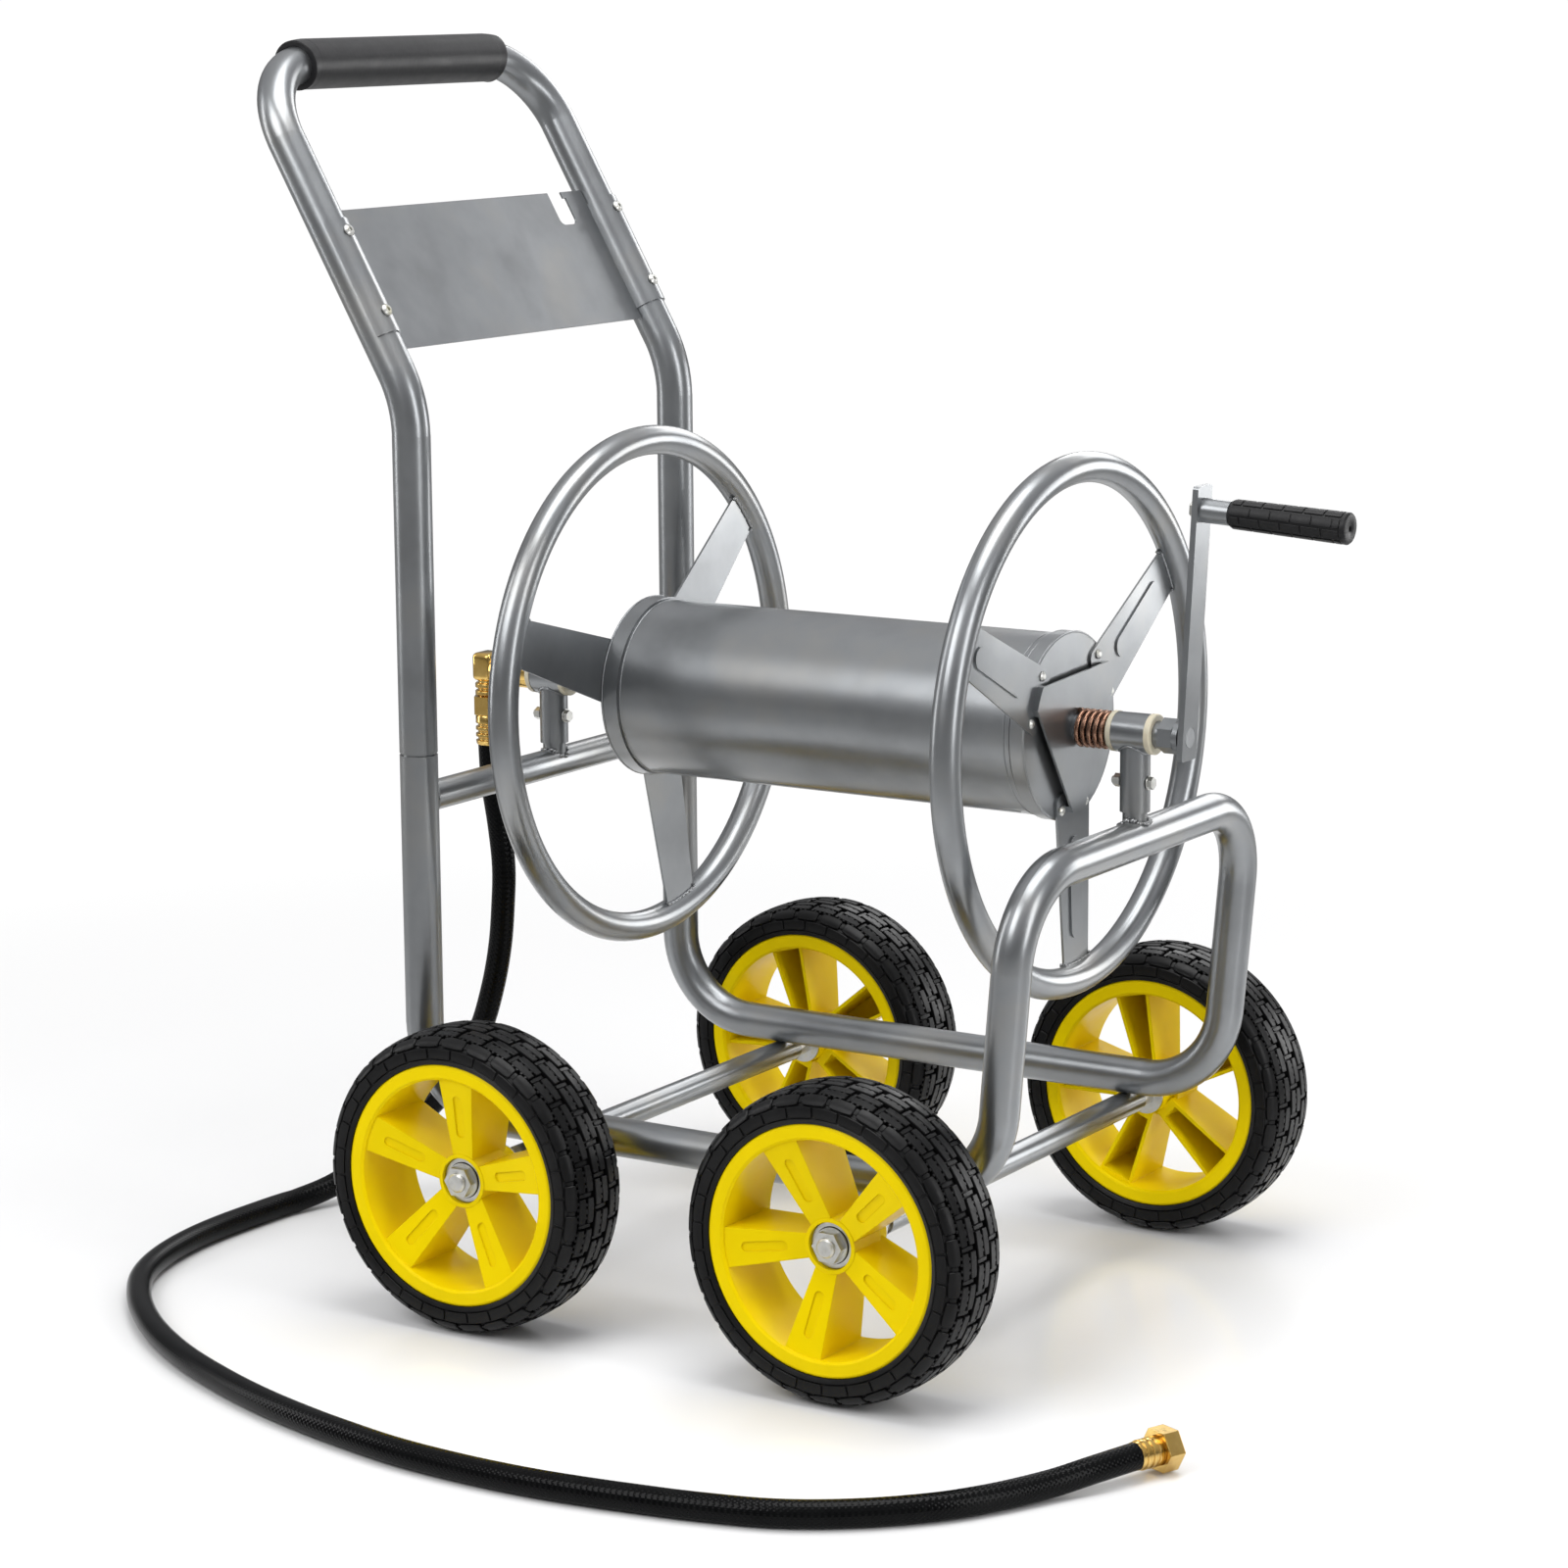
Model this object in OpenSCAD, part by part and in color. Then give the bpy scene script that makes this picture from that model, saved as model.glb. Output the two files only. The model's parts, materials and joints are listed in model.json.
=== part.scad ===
// Garden hose reel cart in millimetres, +Z up.
// X runs from the push handle (-X) to the crank (+X) and Y runs across the cart.
// The four tyres stand on z = 0 and the reel turns about a shaft along X.

/* [Frame] */
// Outside diameter of the frame and handle tube
tube_d = 32; // [28:0.5:38]
// Wall thickness of the frame and handle tube
tube_t = 2; // [1:0.25:3]
// Distance from the middle to each side tube
side_y = 195.5; // [180:0.5:210]
// Height of the bottom rail centre line
rail_z = 154; // [145:1:165]
// Centre line radius of the bottom bends
rail_bend_r = 75; // [60:1:90]
// Rear post position along X
post_x = -291; // [-300:1:-280]
// Front leg position along X at rail height
leg_x = 258.3; // [250:0.1:270]
// Forward lean of the front loop in degrees
leg_lean = 5.1; // [0:0.1:8]
// Distance up the front leg to the butt joint
leg_joint = 146; // [120:1:170]
// Distance up the front leg to the top bar centre
loop_h = 255; // [240:1:270]
// Corner radius of the front loop
loop_r = 70; // [50:1:90]
// Height of the rear cross bar centre line
cross_z = 418; // [405:1:430]
// Rear cross bar diameter
cross_d = 25.4; // [20:0.2:30]
// Height of the seam between rear post and handle tube
seam_z = 458; // [450:1:470]
// Visible neck below the seam
neck_h = 2; // [0:0.5:5]
// Half length of the inner joint sleeve
spigot_h = 28; // [15:1:40]

/* [Handle] */
// Height of the handle bend vertex
lean_z = 750; // [720:1:780]
// Backward lean of the upper handle in degrees
lean = 30; // [15:1:40]
// Centre line radius of the handle side bend
lean_r = 110; // [80:1:150]
// Distance along the lean to the cross tube
handle_u = 313; // [290:1:330]
// Corner radius of the handle
handle_r = 70; // [50:1:90]
// Foam grip outside diameter
foam_d = 42.5; // [36:0.5:50]
// Half length of the foam grip
foam_y = 138; // [110:1:140]

/* [Back plate] */
// Sheet thickness
plate_t = 1.5; // [1:0.1:3]
// Lower edge along the lean
plate_u0 = 47; // [35:1:60]
// Upper edge along the lean
plate_u1 = 176; // [160:1:190]
// Lower end of the side flanges
flange_u0 = 57; // [50:1:70]
// Upper end of the side flanges
flange_u1 = 162; // [150:1:176]
// Hook notch start across the cart
notch_y0 = 126.5; // [110:0.5:135]
// Hook notch end across the cart
notch_y1 = 150.5; // [140:0.5:165]
// Hook notch floor along the lean
notch_u = 144; // [130:1:160]
// Lower screw position along the lean
screw_u0 = 75.5; // [65:0.5:90]
// Upper screw position along the lean
screw_u1 = 149.5; // [130:0.5:160]
// Plate screw head diameter
screw_head_d = 10.5; // [8:0.5:13]

/* [Wheels] */
// Tyre outside radius
tyre_r = 127; // [110:1:140]
// Tyre half width at the sidewalls
tyre_w = 38; // [30:1:45]
// Wheel centre plane distance from the middle
wheel_y = 274; // [260:1:290]
// Rear axle position along X
rear_x = -184; // [-195:1:-170]
// Front axle position along X
front_x = 169; // [155:1:180]
// Rim lip radius
rim_r = 101; // [90:1:110]
// Rim opening radius
rim_in_r = 88; // [80:1:95]
// Half width over the rim lips
rim_w = 36; // [30:1:40]
// Axle end radius
axle_r = 8; // [6:0.5:10]
// Axle body radius inside the sleeve
axle_body_r = 9; // [8:0.5:10]
// Axle sleeve radius
sleeve_r = 11; // [10:0.5:14]
// Axle sleeve half length
sleeve_y = 215; // [205:1:225]
// Hub boss radius
boss_r = 22.5; // [20:0.5:28]
// Boss ring height over the wheel centre plane
boss_z = 18.5; // [15:0.5:26]
// Outer washer seat over the wheel centre plane
washer_z = 13; // [10:0.5:16]
// Spoke face height beside the boss
spoke_z0 = 17; // [14:0.5:24]
// Spoke face height at the rim
spoke_z1 = 33; // [26:0.5:34]
// Near rear wheel spoke phase in degrees
spoke_a1 = 86; // [0:1:90]
// Near front wheel spoke phase in degrees
spoke_a2 = 43; // [0:1:90]
// Far rear wheel spoke phase in degrees
spoke_a3 = 106; // [0:1:120]
// Far front wheel spoke phase in degrees
spoke_a4 = 103; // [0:1:120]

/* [Reel] */
// Height of the reel shaft
reel_z = 495; // [480:1:510]
// Drum shell radius
drum_r = 74.4; // [65:0.1:85]
// Drum sheet thickness
drum_t = 1.5; // [1:0.1:3]
// Rear face of the drum along X
drum_x0 = -188; // [-195:1:-180]
// Front face of the drum along X
drum_x1 = 218.5; // [210:0.5:225]
// Ring tube radius
ring_t = 12.5; // [10:0.5:15]
// Ring centre line radius
ring_r = 209.5; // [190:0.5:220]
// Rear ring plane along X
ring_x0 = -193; // [-200:1:-185]
// Front ring plane along X
ring_x1 = 224; // [215:1:230]
// Angle of the first front arm in degrees
front_arm_a = 33; // [0:1:120]
// Angle of the first rear arm in degrees
rear_arm_a = 42; // [0:1:120]
// Arm width beside the hub
arm_w0 = 55; // [45:1:65]
// Arm width at the ring
arm_w1 = 40; // [30:1:50]
// Arm sheet thickness
arm_t = 2; // [1:0.5:3]
// Inner end of the arms from the shaft
arm_r0 = 53; // [48:1:58]
// Corner radius at the inner end of the arms
arm_corner_r = 8; // [4:0.5:12]
// Radius of the outlet hole through the drum shell
outlet_hole_r = 12; // [11.8:0.1:14]
// Hub bracket corner radius from the shaft
bracket_r = 70; // [60:1:85]
// Hub bracket height above the arms
bracket_h = 5.5; // [4:0.5:14]

/* [Shaft and bearings] */
// Reel shaft radius
shaft_r = 11; // [9:0.5:13]
// Radial running clearance of the shafts
run_gap = 0.06; // [0.02:0.01:0.1]
// Bearing tube outside radius
bearing_r = 16; // [14:0.5:18]
// Bearing tube bore radius
bearing_bore_r = 14; // [12:0.5:15]
// Bearing tube length
bearing_l = 30; // [24:1:40]
// Front bearing centre along X
bearing_x1 = 278.5; // [270:0.5:285]
// Bearing stem radius
stem_r = 12.25; // [11:0.25:14]
// Stub post radius
stub_r = 10; // [8:0.5:11]
// Bush flange radius
bush_r = 16.5; // [15:0.5:19]
// Bush flange thickness
bush_t = 5; // [3:0.5:8]
// Spring outside radius
spring_r = 16; // [14:0.5:18]
// Spring wire diameter
spring_wire = 3.5; // [2:0.5:5]
// Spring turns
spring_n = 4.5; // [3:0.5:8]

/* [Crank] */
// Crank radius from shaft to handle pin
crank_r = 183; // [150:1:200]
// Outward lean of the crank arm in degrees
crank_lean = 3.2; // [0:0.1:6]
// Crank arm width
crank_w = 25; // [20:1:30]
// Crank arm thickness
crank_t = 5; // [3:0.5:8]
// Crank arm position along X at the shaft
crank_x = 324.8; // [320:0.1:330]
// Length of the spacer tube between arm and grip
spacer_l = 24; // [15:1:30]
// Crank pin radius
pin_r = 5; // [4:0.5:6]
// Length of the crank grip
grip_l = 101.5; // [90:0.5:130]
// Grip radius next to the arm
grip_r0 = 11.8; // [10:0.2:16]
// Grip radius at the free end
grip_r1 = 12.8; // [11:0.2:20]

/* [Water path] */
// Hose outside diameter
hose_d = 21; // [16:0.5:26]
// Inlet leg position along X
inlet_x = -360.5; // [-370:0.5:-350]
// Height where the hose leaves the inlet ferrule
inlet_z = 428; // [415:1:440]
// Hose end fitting position along X
end_x = 450; // [440:1:460]
// Hose end fitting position along Y
end_y = -321; // [-330:1:-310]
// Hose end fitting height
end_z = 17.6; // [17.6:0.1:20]
// Hose end fitting turn from +Y towards +X in degrees
end_turn = 22; // [0:1:40]
// Outlet nipple angle about the shaft in degrees
outlet_a = 0; // [0:5:45]

/* [Hidden] */
$fn = 64;
tube_r = tube_d / 2;
bend_a = 90 - leg_lean;
bend_l = rail_bend_r * tan(bend_a / 2);
lean_l = lean_r * tan(lean / 2);
axle_z = tyre_r;
bearing_x0 = post_x;
outlet_x = -84;
collar_x1 = bearing_x0 - bearing_l / 2 - bush_t - 0.3;
spoke_slope = atan((spoke_z1 - spoke_z0) / 72);
thrust = 0.2;
flange_in = tube_r + 0.15;
shell_x0 = drum_x0 + 2;
shell_x1 = drum_x1 - 2;
// Hose route, centre line points
route = [
  [-360.5, 0, 428], [-358.5, 0, 394], [-353, 1, 356], [-349, 1, 318], [-350, 0, 282],
  [-354, 0, 246], [-362, -1, 208], [-375, -3, 168], [-396, -7, 130], [-426, -13, 92],
  [-464, -24, 55], [-499, -54, 21], [-517, -98, 10.5], [-522, -152, 10.5], [-523, -205, 10.5],
  [-518, -254, 10.5], [-507, -297, 10.5], [-490, -336, 10.5], [-466, -370, 10.5],
  [-428, -410, 10.5], [-376, -452, 10.5], [-314, -490, 10.5], [-249, -520, 10.5],
  [-193, -541, 10.5], [-142, -556, 10.5], [-96, -567, 10.5], [-36, -578, 10.5],
  [25, -582, 10.5], [80, -581, 10.5], [127, -576, 10.5], [175, -568, 10.5],
  [219, -559, 10.5], [275, -542, 10.5], [323, -513, 10.5], [365, -474, 10.5],
  [392, -436, 10.5], [416, -391, 11.5], [433, -359, 15], [450, -321, 17.6]
];
HOSE_SIDES = 12;

function unit(v) = v / norm(v);
function seg_dir(p, i) = unit(p[min(i + 1, len(p) - 1)] - p[max(i - 1, 0)]);
function end_dir(p, i) = i == 0 ? [0, 0, -1] : i == len(p) - 1 ? [sin(end_turn), cos(end_turn), 0] :
  seg_dir(p, i);
function side_vec(p, i) =
  i == 0 ? [0, 1, 0] : let (m = side_vec(p, i - 1), t = end_dir(p, i)) unit(m - (m * t) * t);

module ring2d(r, w) {
  difference() {
    circle(r);
    circle(r - w);
  }
}

module pipe(l, r = tube_r, w = tube_t) {
  linear_extrude(l) ring2d(r, w);
}

module pipe_bend(c, a, r = tube_r, w = tube_t) {
  rotate_extrude(angle = a) translate([c, 0]) ring2d(r, w);
}

module along_x(x, z = reel_z) {
  translate([x, 0, z]) rotate([0, 90, 0]) children();
}

module lean_frame() {
  translate([post_x, 0, lean_z]) rotate([0, -lean, 0]) children();
}

module loop_frame() {
  translate([leg_x, 0, rail_z]) rotate([0, leg_lean, 0]) children();
}

// Straight length that bites into the bends at its ends
module rod(l, r, lo = 2, hi = 2) {
  translate([0, 0, -lo]) cylinder(r = r, h = l + lo + hi);
}

module rod_bend(c, a, r) {
  rotate_extrude(angle = a) translate([c, 0]) circle(r - 0.1);
}

module side_path(y, r, e) {
  translate([post_x, y, rail_z + rail_bend_r])
    rod(seam_z - neck_h - rail_z - rail_bend_r, r, 2, e);
  translate([post_x + rail_bend_r, y, rail_z + rail_bend_r])
    rotate([90, 0, 0]) rotate([0, 0, 180]) rod_bend(rail_bend_r, 90, r);
  translate([post_x + rail_bend_r, y, rail_z])
    rotate([0, 90, 0]) rod(leg_x - bend_l - post_x - rail_bend_r, r);
  translate([leg_x - bend_l, y, rail_z + rail_bend_r])
    rotate([90, 0, 0]) rotate([0, 0, 270]) rod_bend(rail_bend_r, bend_a, r);
  loop_frame() translate([0, y, bend_l]) rod(leg_joint - bend_l, r, 2, e);
}

module side_tube(y) {
  color("Silver") difference() {
    side_path(y, tube_r, 0);
    side_path(y, tube_r - tube_t, 1);
  }
}

module near_side_tube() {
  side_tube(-side_y);
}

module far_side_tube() {
  side_tube(side_y);
}

module front_loop() {
  color("Silver") loop_frame() {
    for (s = [-1, 1])
      translate([0, s * side_y, leg_joint]) pipe(loop_h - loop_r - leg_joint);
    for (s = [0, 1])
      mirror([0, s, 0]) translate([0, side_y - loop_r, loop_h - loop_r])
        rotate([90, 0, 90]) pipe_bend(loop_r, 90);
    translate([0, side_y - loop_r, loop_h]) rotate([90, 0, 0]) pipe(2 * (side_y - loop_r));
  }
}

module screw_holes(r) {
  for (s = [-1, 1])
    for (u = [screw_u0, screw_u1])
      translate([0, s * side_y, u]) rotate([0, 90, 0]) cylinder(r = r, h = 30);
}

module handle_path(r, e) {
  for (s = [-1, 1])
    translate([post_x, s * side_y, seam_z]) rod(lean_z - lean_l - seam_z, r, e, 2);
  for (s = [-1, 1])
    translate([post_x - lean_r, s * side_y, lean_z - lean_l])
      rotate([90, 0, 0]) rod_bend(lean_r, lean, r);
  lean_frame() {
    for (s = [-1, 1])
      translate([0, s * side_y, lean_l]) rod(handle_u - handle_r - lean_l, r);
    translate([0, side_y - handle_r, handle_u - handle_r])
      rotate([90, 0, 90]) rod_bend(handle_r, 90, r);
    translate([0, handle_r - side_y, handle_u - handle_r])
      rotate([90, 0, 90]) rotate([0, 0, 90]) rod_bend(handle_r, 90, r);
    translate([0, side_y - handle_r, handle_u]) rotate([90, 0, 0])
      rod(2 * (side_y - handle_r), r);
  }
}

module handle_tube() {
  color("Silver") difference() {
    handle_path(tube_r, 0);
    handle_path(tube_r - tube_t, 1);
    lean_frame() screw_holes(2.6);
  }
}

module joint_sleeve() {
  color("Silver") for (s = [-1, 1])
    translate([post_x, s * side_y, seam_z - spigot_h])
      pipe(2 * spigot_h, tube_r - tube_t, 1.5);
}

module cross_bar() {
  color("Silver") difference() {
    translate([post_x, side_y - tube_r + 8, cross_z]) rotate([90, 0, 0])
      pipe(2 * (side_y - tube_r + 8), cross_d / 2, tube_t);
    for (s = [-1, 1])
      translate([post_x, s * side_y, cross_z - 40]) cylinder(r = tube_r, h = 80);
  }
}

module foam_path(r) {
  foam_a = asin((foam_y - side_y + handle_r) / handle_r);
  translate([0, side_y - handle_r, handle_u]) rotate([90, 0, 0])
    rod(2 * (side_y - handle_r), r);
  translate([0, side_y - handle_r, handle_u - handle_r])
    rotate([90, 0, 90]) rotate([0, 0, 90 - foam_a]) rod_bend(handle_r, foam_a, r);
  translate([0, handle_r - side_y, handle_u - handle_r])
    rotate([90, 0, 90]) rotate([0, 0, 90]) rod_bend(handle_r, foam_a, r);
}

module foam_grip() {
  color("DimGray") lean_frame() difference() {
    foam_path(foam_d / 2);
    foam_path(tube_r);
  }
}

module plate_flange(s) {
  start = s > 0 ? -90 : -60;
  translate([0, s * side_y, flange_u0]) rotate([0, 0, start])
    rotate_extrude(angle = 150) translate([flange_in, 0]) square([plate_t, flange_u1 - flange_u0]);
}

module back_plate() {
  half_y = side_y - flange_in - plate_t / 2;
  notch_w = notch_y1 - notch_y0;
  color("Silver") lean_frame() difference() {
    union() {
      translate([-plate_t / 2, -half_y, plate_u0])
        cube([plate_t, 2 * half_y, plate_u1 - plate_u0]);
      for (s = [-1, 1])
        plate_flange(s);
    }
    translate([-5, notch_y0 + 6, notch_u]) cube([10, notch_w - 12, 60]);
    translate([-5, notch_y0, notch_u + 6]) cube([10, notch_w - 4, 60]);
    translate([-5, notch_y0, notch_u + 6]) cube([10, notch_w, 20]);
    for (y = [notch_y0 + 6, notch_y1 - 6])
      translate([-5, y, notch_u + 6]) rotate([0, 90, 0]) cylinder(r = 6, h = 10);
    screw_holes(2.6);
  }
}

module plate_screw() {
  color("Gainsboro") lean_frame()
    for (s = [-1, 1])
      for (u = [screw_u0, screw_u1])
        translate([0, s * side_y, u]) rotate([0, 90, 0]) difference() {
          union() {
            translate([0, 0, 9]) cylinder(r = 2.5, h = flange_in + plate_t - 9);
            translate([0, 0, flange_in + plate_t]) cylinder(r = screw_head_d / 2, h = 1.4);
            translate([0, 0, flange_in + plate_t + 1.4])
              cylinder(r1 = screw_head_d / 2, r2 = screw_head_d / 2 - 1.8, h = 1.6);
          }
          translate([0, 0, flange_in + plate_t + 1]) cylinder(r = 1.9, h = 5, $fn = 6);
        }
}

module axle_sleeve(x) {
  color("Silver") translate([x, sleeve_y, axle_z]) rotate([90, 0, 0])
    pipe(2 * sleeve_y, sleeve_r, sleeve_r - axle_body_r);
}

module rear_axle_sleeve() {
  axle_sleeve(rear_x);
}

module front_axle_sleeve() {
  axle_sleeve(front_x);
}

module axle(x) {
  shoulder_y = wheel_y - 40;
  tip_y = wheel_y + 27;
  color("Gainsboro") translate([x, 0, axle_z]) rotate([90, 0, 0]) {
    translate([0, 0, -shoulder_y]) cylinder(r = axle_body_r, h = 2 * shoulder_y);
    translate([0, 0, -tip_y + 1.5]) cylinder(r = axle_r, h = 2 * tip_y - 3);
    for (s = [0, 1])
      mirror([0, 0, s]) translate([0, 0, tip_y - 1.5])
        cylinder(r1 = axle_r, r2 = axle_r - 1.5, h = 1.5);
  }
}

module rear_axle() {
  axle(rear_x);
}

module front_axle() {
  axle(front_x);
}

module wheel_end(y0, y1) {
  for (x = [rear_x, front_x])
    for (s = [0, 1])
      mirror([0, s, 0]) translate([x, wheel_y + y1, axle_z]) rotate([90, 0, 0])
        linear_extrude(y1 - y0) children();
}

module wheel_washer() {
  color("Gainsboro") {
    wheel_end(washer_z, washer_z + 2) ring2d(18.5, 18.5 - axle_r);
    wheel_end(-40, -38.2) ring2d(17, 17 - axle_r);
  }
}

module lock_nut() {
  color("Gainsboro") {
    wheel_end(washer_z + 2, washer_z + 4) ring2d(14.5, 14.5 - axle_r);
    wheel_end(washer_z + 4, washer_z + 11) difference() {
      circle(r = 13.3, $fn = 6);
      circle(axle_r);
    }
  }
}

TYRE_HALF = [
  [93, 29], [rim_r, 33], [rim_r, rim_w], [104, tyre_w - 0.6], [109, tyre_w], [114, tyre_w - 0.2],
  [118.5, tyre_w - 1.6], [121.6, 33.6], [123.6, 30], [125.2, 25], [tyre_r - 0.6, 17], [tyre_r, 8]
];
RIM_HALF = [
  [rim_in_r, rim_w - 2], [rim_in_r + 2, rim_w], [rim_r - 2, rim_w], [rim_r, rim_w - 1.5],
  [rim_r, 33], [93, 29]
];

// Points of a half profile followed by the same points mirrored
function both(p) = concat(p, [for (i = [len(p) - 1:-1:0]) [p[i][0], -p[i][1]]]);

module tyre(x, s) {
  color("DimGray") translate([x, s * wheel_y, axle_z]) rotate([90, 0, 0])
    rotate_extrude() polygon(both(TYRE_HALF));
}

// Plan of one spoke, and its side view with the face sloping down to the boss
module spoke_solid() {
  intersection() {
    translate([0, 0, -28]) linear_extrude(64)
      polygon([[17, -9.5], [89, -16.5], [89, 16.5], [17, 9.5]]);
    translate([0, 20, 0]) rotate([90, 0, 0]) linear_extrude(40)
      polygon([[17, -28], [89, -28], [89, spoke_z1], [17, spoke_z0]]);
  }
}

module spoke_core() {
  intersection() {
    translate([0, 0, -30]) linear_extrude(64)
      polygon([[25, -7], [86, -13.2], [86, 13.2], [25, 7]]);
    translate([0, 20, 0]) rotate([90, 0, 0]) linear_extrude(40)
      polygon([[25, -30], [86, -30], [86, spoke_z1 - 3.4], [25, spoke_z0 - 1.2]]);
  }
}

module spoke_dimple() {
  translate([17, 0, spoke_z0]) rotate([0, -spoke_slope, 0]) translate([0, 0, -1.4])
    linear_extrude(5) {
      translate([25, 0]) circle(4);
      translate([55, 0]) circle(4);
      translate([25, -4]) square([30, 8]);
    }
}

module hub(x, s, a) {
  // Local z points outward from the cart
  color("Gold") translate([x, s * wheel_y, axle_z])
    rotate([s > 0 ? -90 : 90, 0, 0]) difference() {
      union() {
        rotate_extrude() polygon(both(RIM_HALF));
        translate([0, 0, -38]) cylinder(r = boss_r - 5, h = 40);
        translate([0, 0, -20]) cylinder(r = boss_r, h = 20 + boss_z);
        for (k = [0:4])
          rotate([0, 0, (s > 0 ? -a : a) + 72 * k]) difference() {
            spoke_solid();
            spoke_core();
            spoke_dimple();
          }
      }
      translate([0, 0, -40]) cylinder(r = axle_r + run_gap, h = 80);
      translate([0, 0, washer_z - thrust]) cylinder(r = boss_r - 3.5, h = 30);
    }
}

module near_rear_tyre() {
  tyre(rear_x, -1);
}

module near_rear_hub() {
  hub(rear_x, -1, spoke_a1);
}

module near_front_tyre() {
  tyre(front_x, -1);
}

module near_front_hub() {
  hub(front_x, -1, spoke_a2);
}

module far_rear_tyre() {
  tyre(rear_x, 1);
}

module far_rear_hub() {
  hub(rear_x, 1, spoke_a3);
}

module far_front_tyre() {
  tyre(front_x, 1);
}

module far_front_hub() {
  hub(front_x, 1, spoke_a4);
}

module bearing(x, stem_z, bolt_z) {
  color("Silver") difference() {
    union() {
      along_x(x - bearing_l / 2) cylinder(r = bearing_r, h = bearing_l);
      translate([x, 0, stem_z]) cylinder(r = stem_r, h = reel_z - stem_z);
    }
    along_x(x - bearing_l / 2 - 1) cylinder(r = bearing_bore_r, h = bearing_l + 2);
    translate([x, 0, stem_z - 1]) cylinder(r = stub_r + 0.1, h = reel_z - 17 - stem_z);
    along_x(x - 30, bolt_z) cylinder(r = 3.1, h = 60);
  }
}

front_bolt_z = 455;
rear_bolt_z = 460;

module front_bearing() {
  bearing(bearing_x1, 431, front_bolt_z);
}

module rear_bearing() {
  bearing(bearing_x0, 436, rear_bolt_z);
}

module front_stub() {
  bar_x = leg_x + loop_h * sin(leg_lean);
  bar_z = rail_z + loop_h * cos(leg_lean);
  color("Silver") difference() {
    translate([bearing_x1, 0, bar_z]) cylinder(r = stub_r, h = 476 - bar_z);
    translate([bar_x, 50, bar_z]) rotate([90, 0, 0]) cylinder(r = tube_r, h = 100);
    along_x(bearing_x1 - 30, front_bolt_z) cylinder(r = 3.1, h = 60);
  }
}

module rear_stub() {
  color("Silver") difference() {
    translate([bearing_x0, 0, cross_z]) cylinder(r = stub_r, h = 476 - cross_z);
    translate([bearing_x0, 50, cross_z]) rotate([90, 0, 0]) cylinder(r = cross_d / 2, h = 100);
    along_x(bearing_x0 - 30, rear_bolt_z) cylinder(r = 3.1, h = 60);
  }
}

module bolt_place() {
  translate([bearing_x1, 0, front_bolt_z]) rotate([0, 90, 0]) children();
  translate([bearing_x0, 0, rear_bolt_z]) rotate([0, 90, 0]) children();
}

module bearing_bolt() {
  color("Gainsboro") bolt_place() {
    translate([0, 0, -20]) cylinder(r = 3, h = 20 + stem_r);
    translate([0, 0, stem_r]) cylinder(r = 5.8, h = 1);
    translate([0, 0, stem_r + 1]) cylinder(r = 5.2, h = 3.4, $fn = 6);
  }
}

module bearing_nut() {
  color("Gainsboro") bolt_place() difference() {
    translate([0, 0, -stem_r - 5.5]) cylinder(r = 5.6, h = 5.5, $fn = 6);
    translate([0, 0, -stem_r - 6]) cylinder(r = 3, h = 7);
  }
}

module bush() {
  rotate_extrude() polygon([
    [shaft_r + run_gap, 0], [bush_r - 1, 0], [bush_r, 1], [bush_r, bush_t],
    [bearing_bore_r, bush_t], [bearing_bore_r, bush_t + 10], [shaft_r + run_gap, bush_t + 10]
  ]);
}

module bearing_bush() {
  color("Ivory") for (x = [bearing_x0, bearing_x1]) {
    along_x(x - bearing_l / 2 - bush_t) bush();
    translate([x + bearing_l / 2 + bush_t, 0, reel_z]) rotate([0, -90, 0]) bush();
  }
}

module drum_shell() {
  color("Silver") difference() {
    along_x(shell_x0) pipe(shell_x1 - shell_x0, drum_r, drum_t);
    translate([outlet_x, 0, reel_z]) rotate([-90 - outlet_a, 0, 0])
      cylinder(r = outlet_hole_r, h = drum_r + 5);
  }
}

module drum_front_disc() {
  color("Silver") along_x(drum_x1) rotate_extrude() polygon([
    [shaft_r, 0], [75.5, 0], [77, -1.5], [77, -12.5], [drum_r, -12.5], [drum_r, -2],
    [shaft_r, -2]
  ]);
}

module drum_rear_cap() {
  color("Silver") along_x(drum_x0) rotate_extrude() polygon([
    [shaft_r, 0], [74, 0], [76, 0.8], [76.5, 2.5], [76.5, 16], [drum_r, 16], [drum_r, 2],
    [shaft_r, 2]
  ]);
}

module reel_ring(x) {
  color("Silver") along_x(x) pipe_bend(ring_r, 360, ring_t, 1.5);
}

module front_ring() {
  reel_ring(ring_x1);
}

module rear_ring() {
  reel_ring(ring_x0);
}

module around_reel(a0) {
  for (k = [0:2])
    rotate([a0 + 120 * k, 0, 0]) children();
}

module arm_outline() {
  corner_y = arm_w0 / 2 - arm_corner_r;
  polygon([
    [arm_r0, -corner_y], [arm_r0 + arm_corner_r, -arm_w0 / 2], [200, -arm_w1 / 2],
    [200, arm_w1 / 2], [arm_r0 + arm_corner_r, arm_w0 / 2], [arm_r0, corner_y]
  ]);
  for (y = [-corner_y, corner_y])
    translate([arm_r0 + arm_corner_r, y]) circle(arm_corner_r);
}

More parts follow.
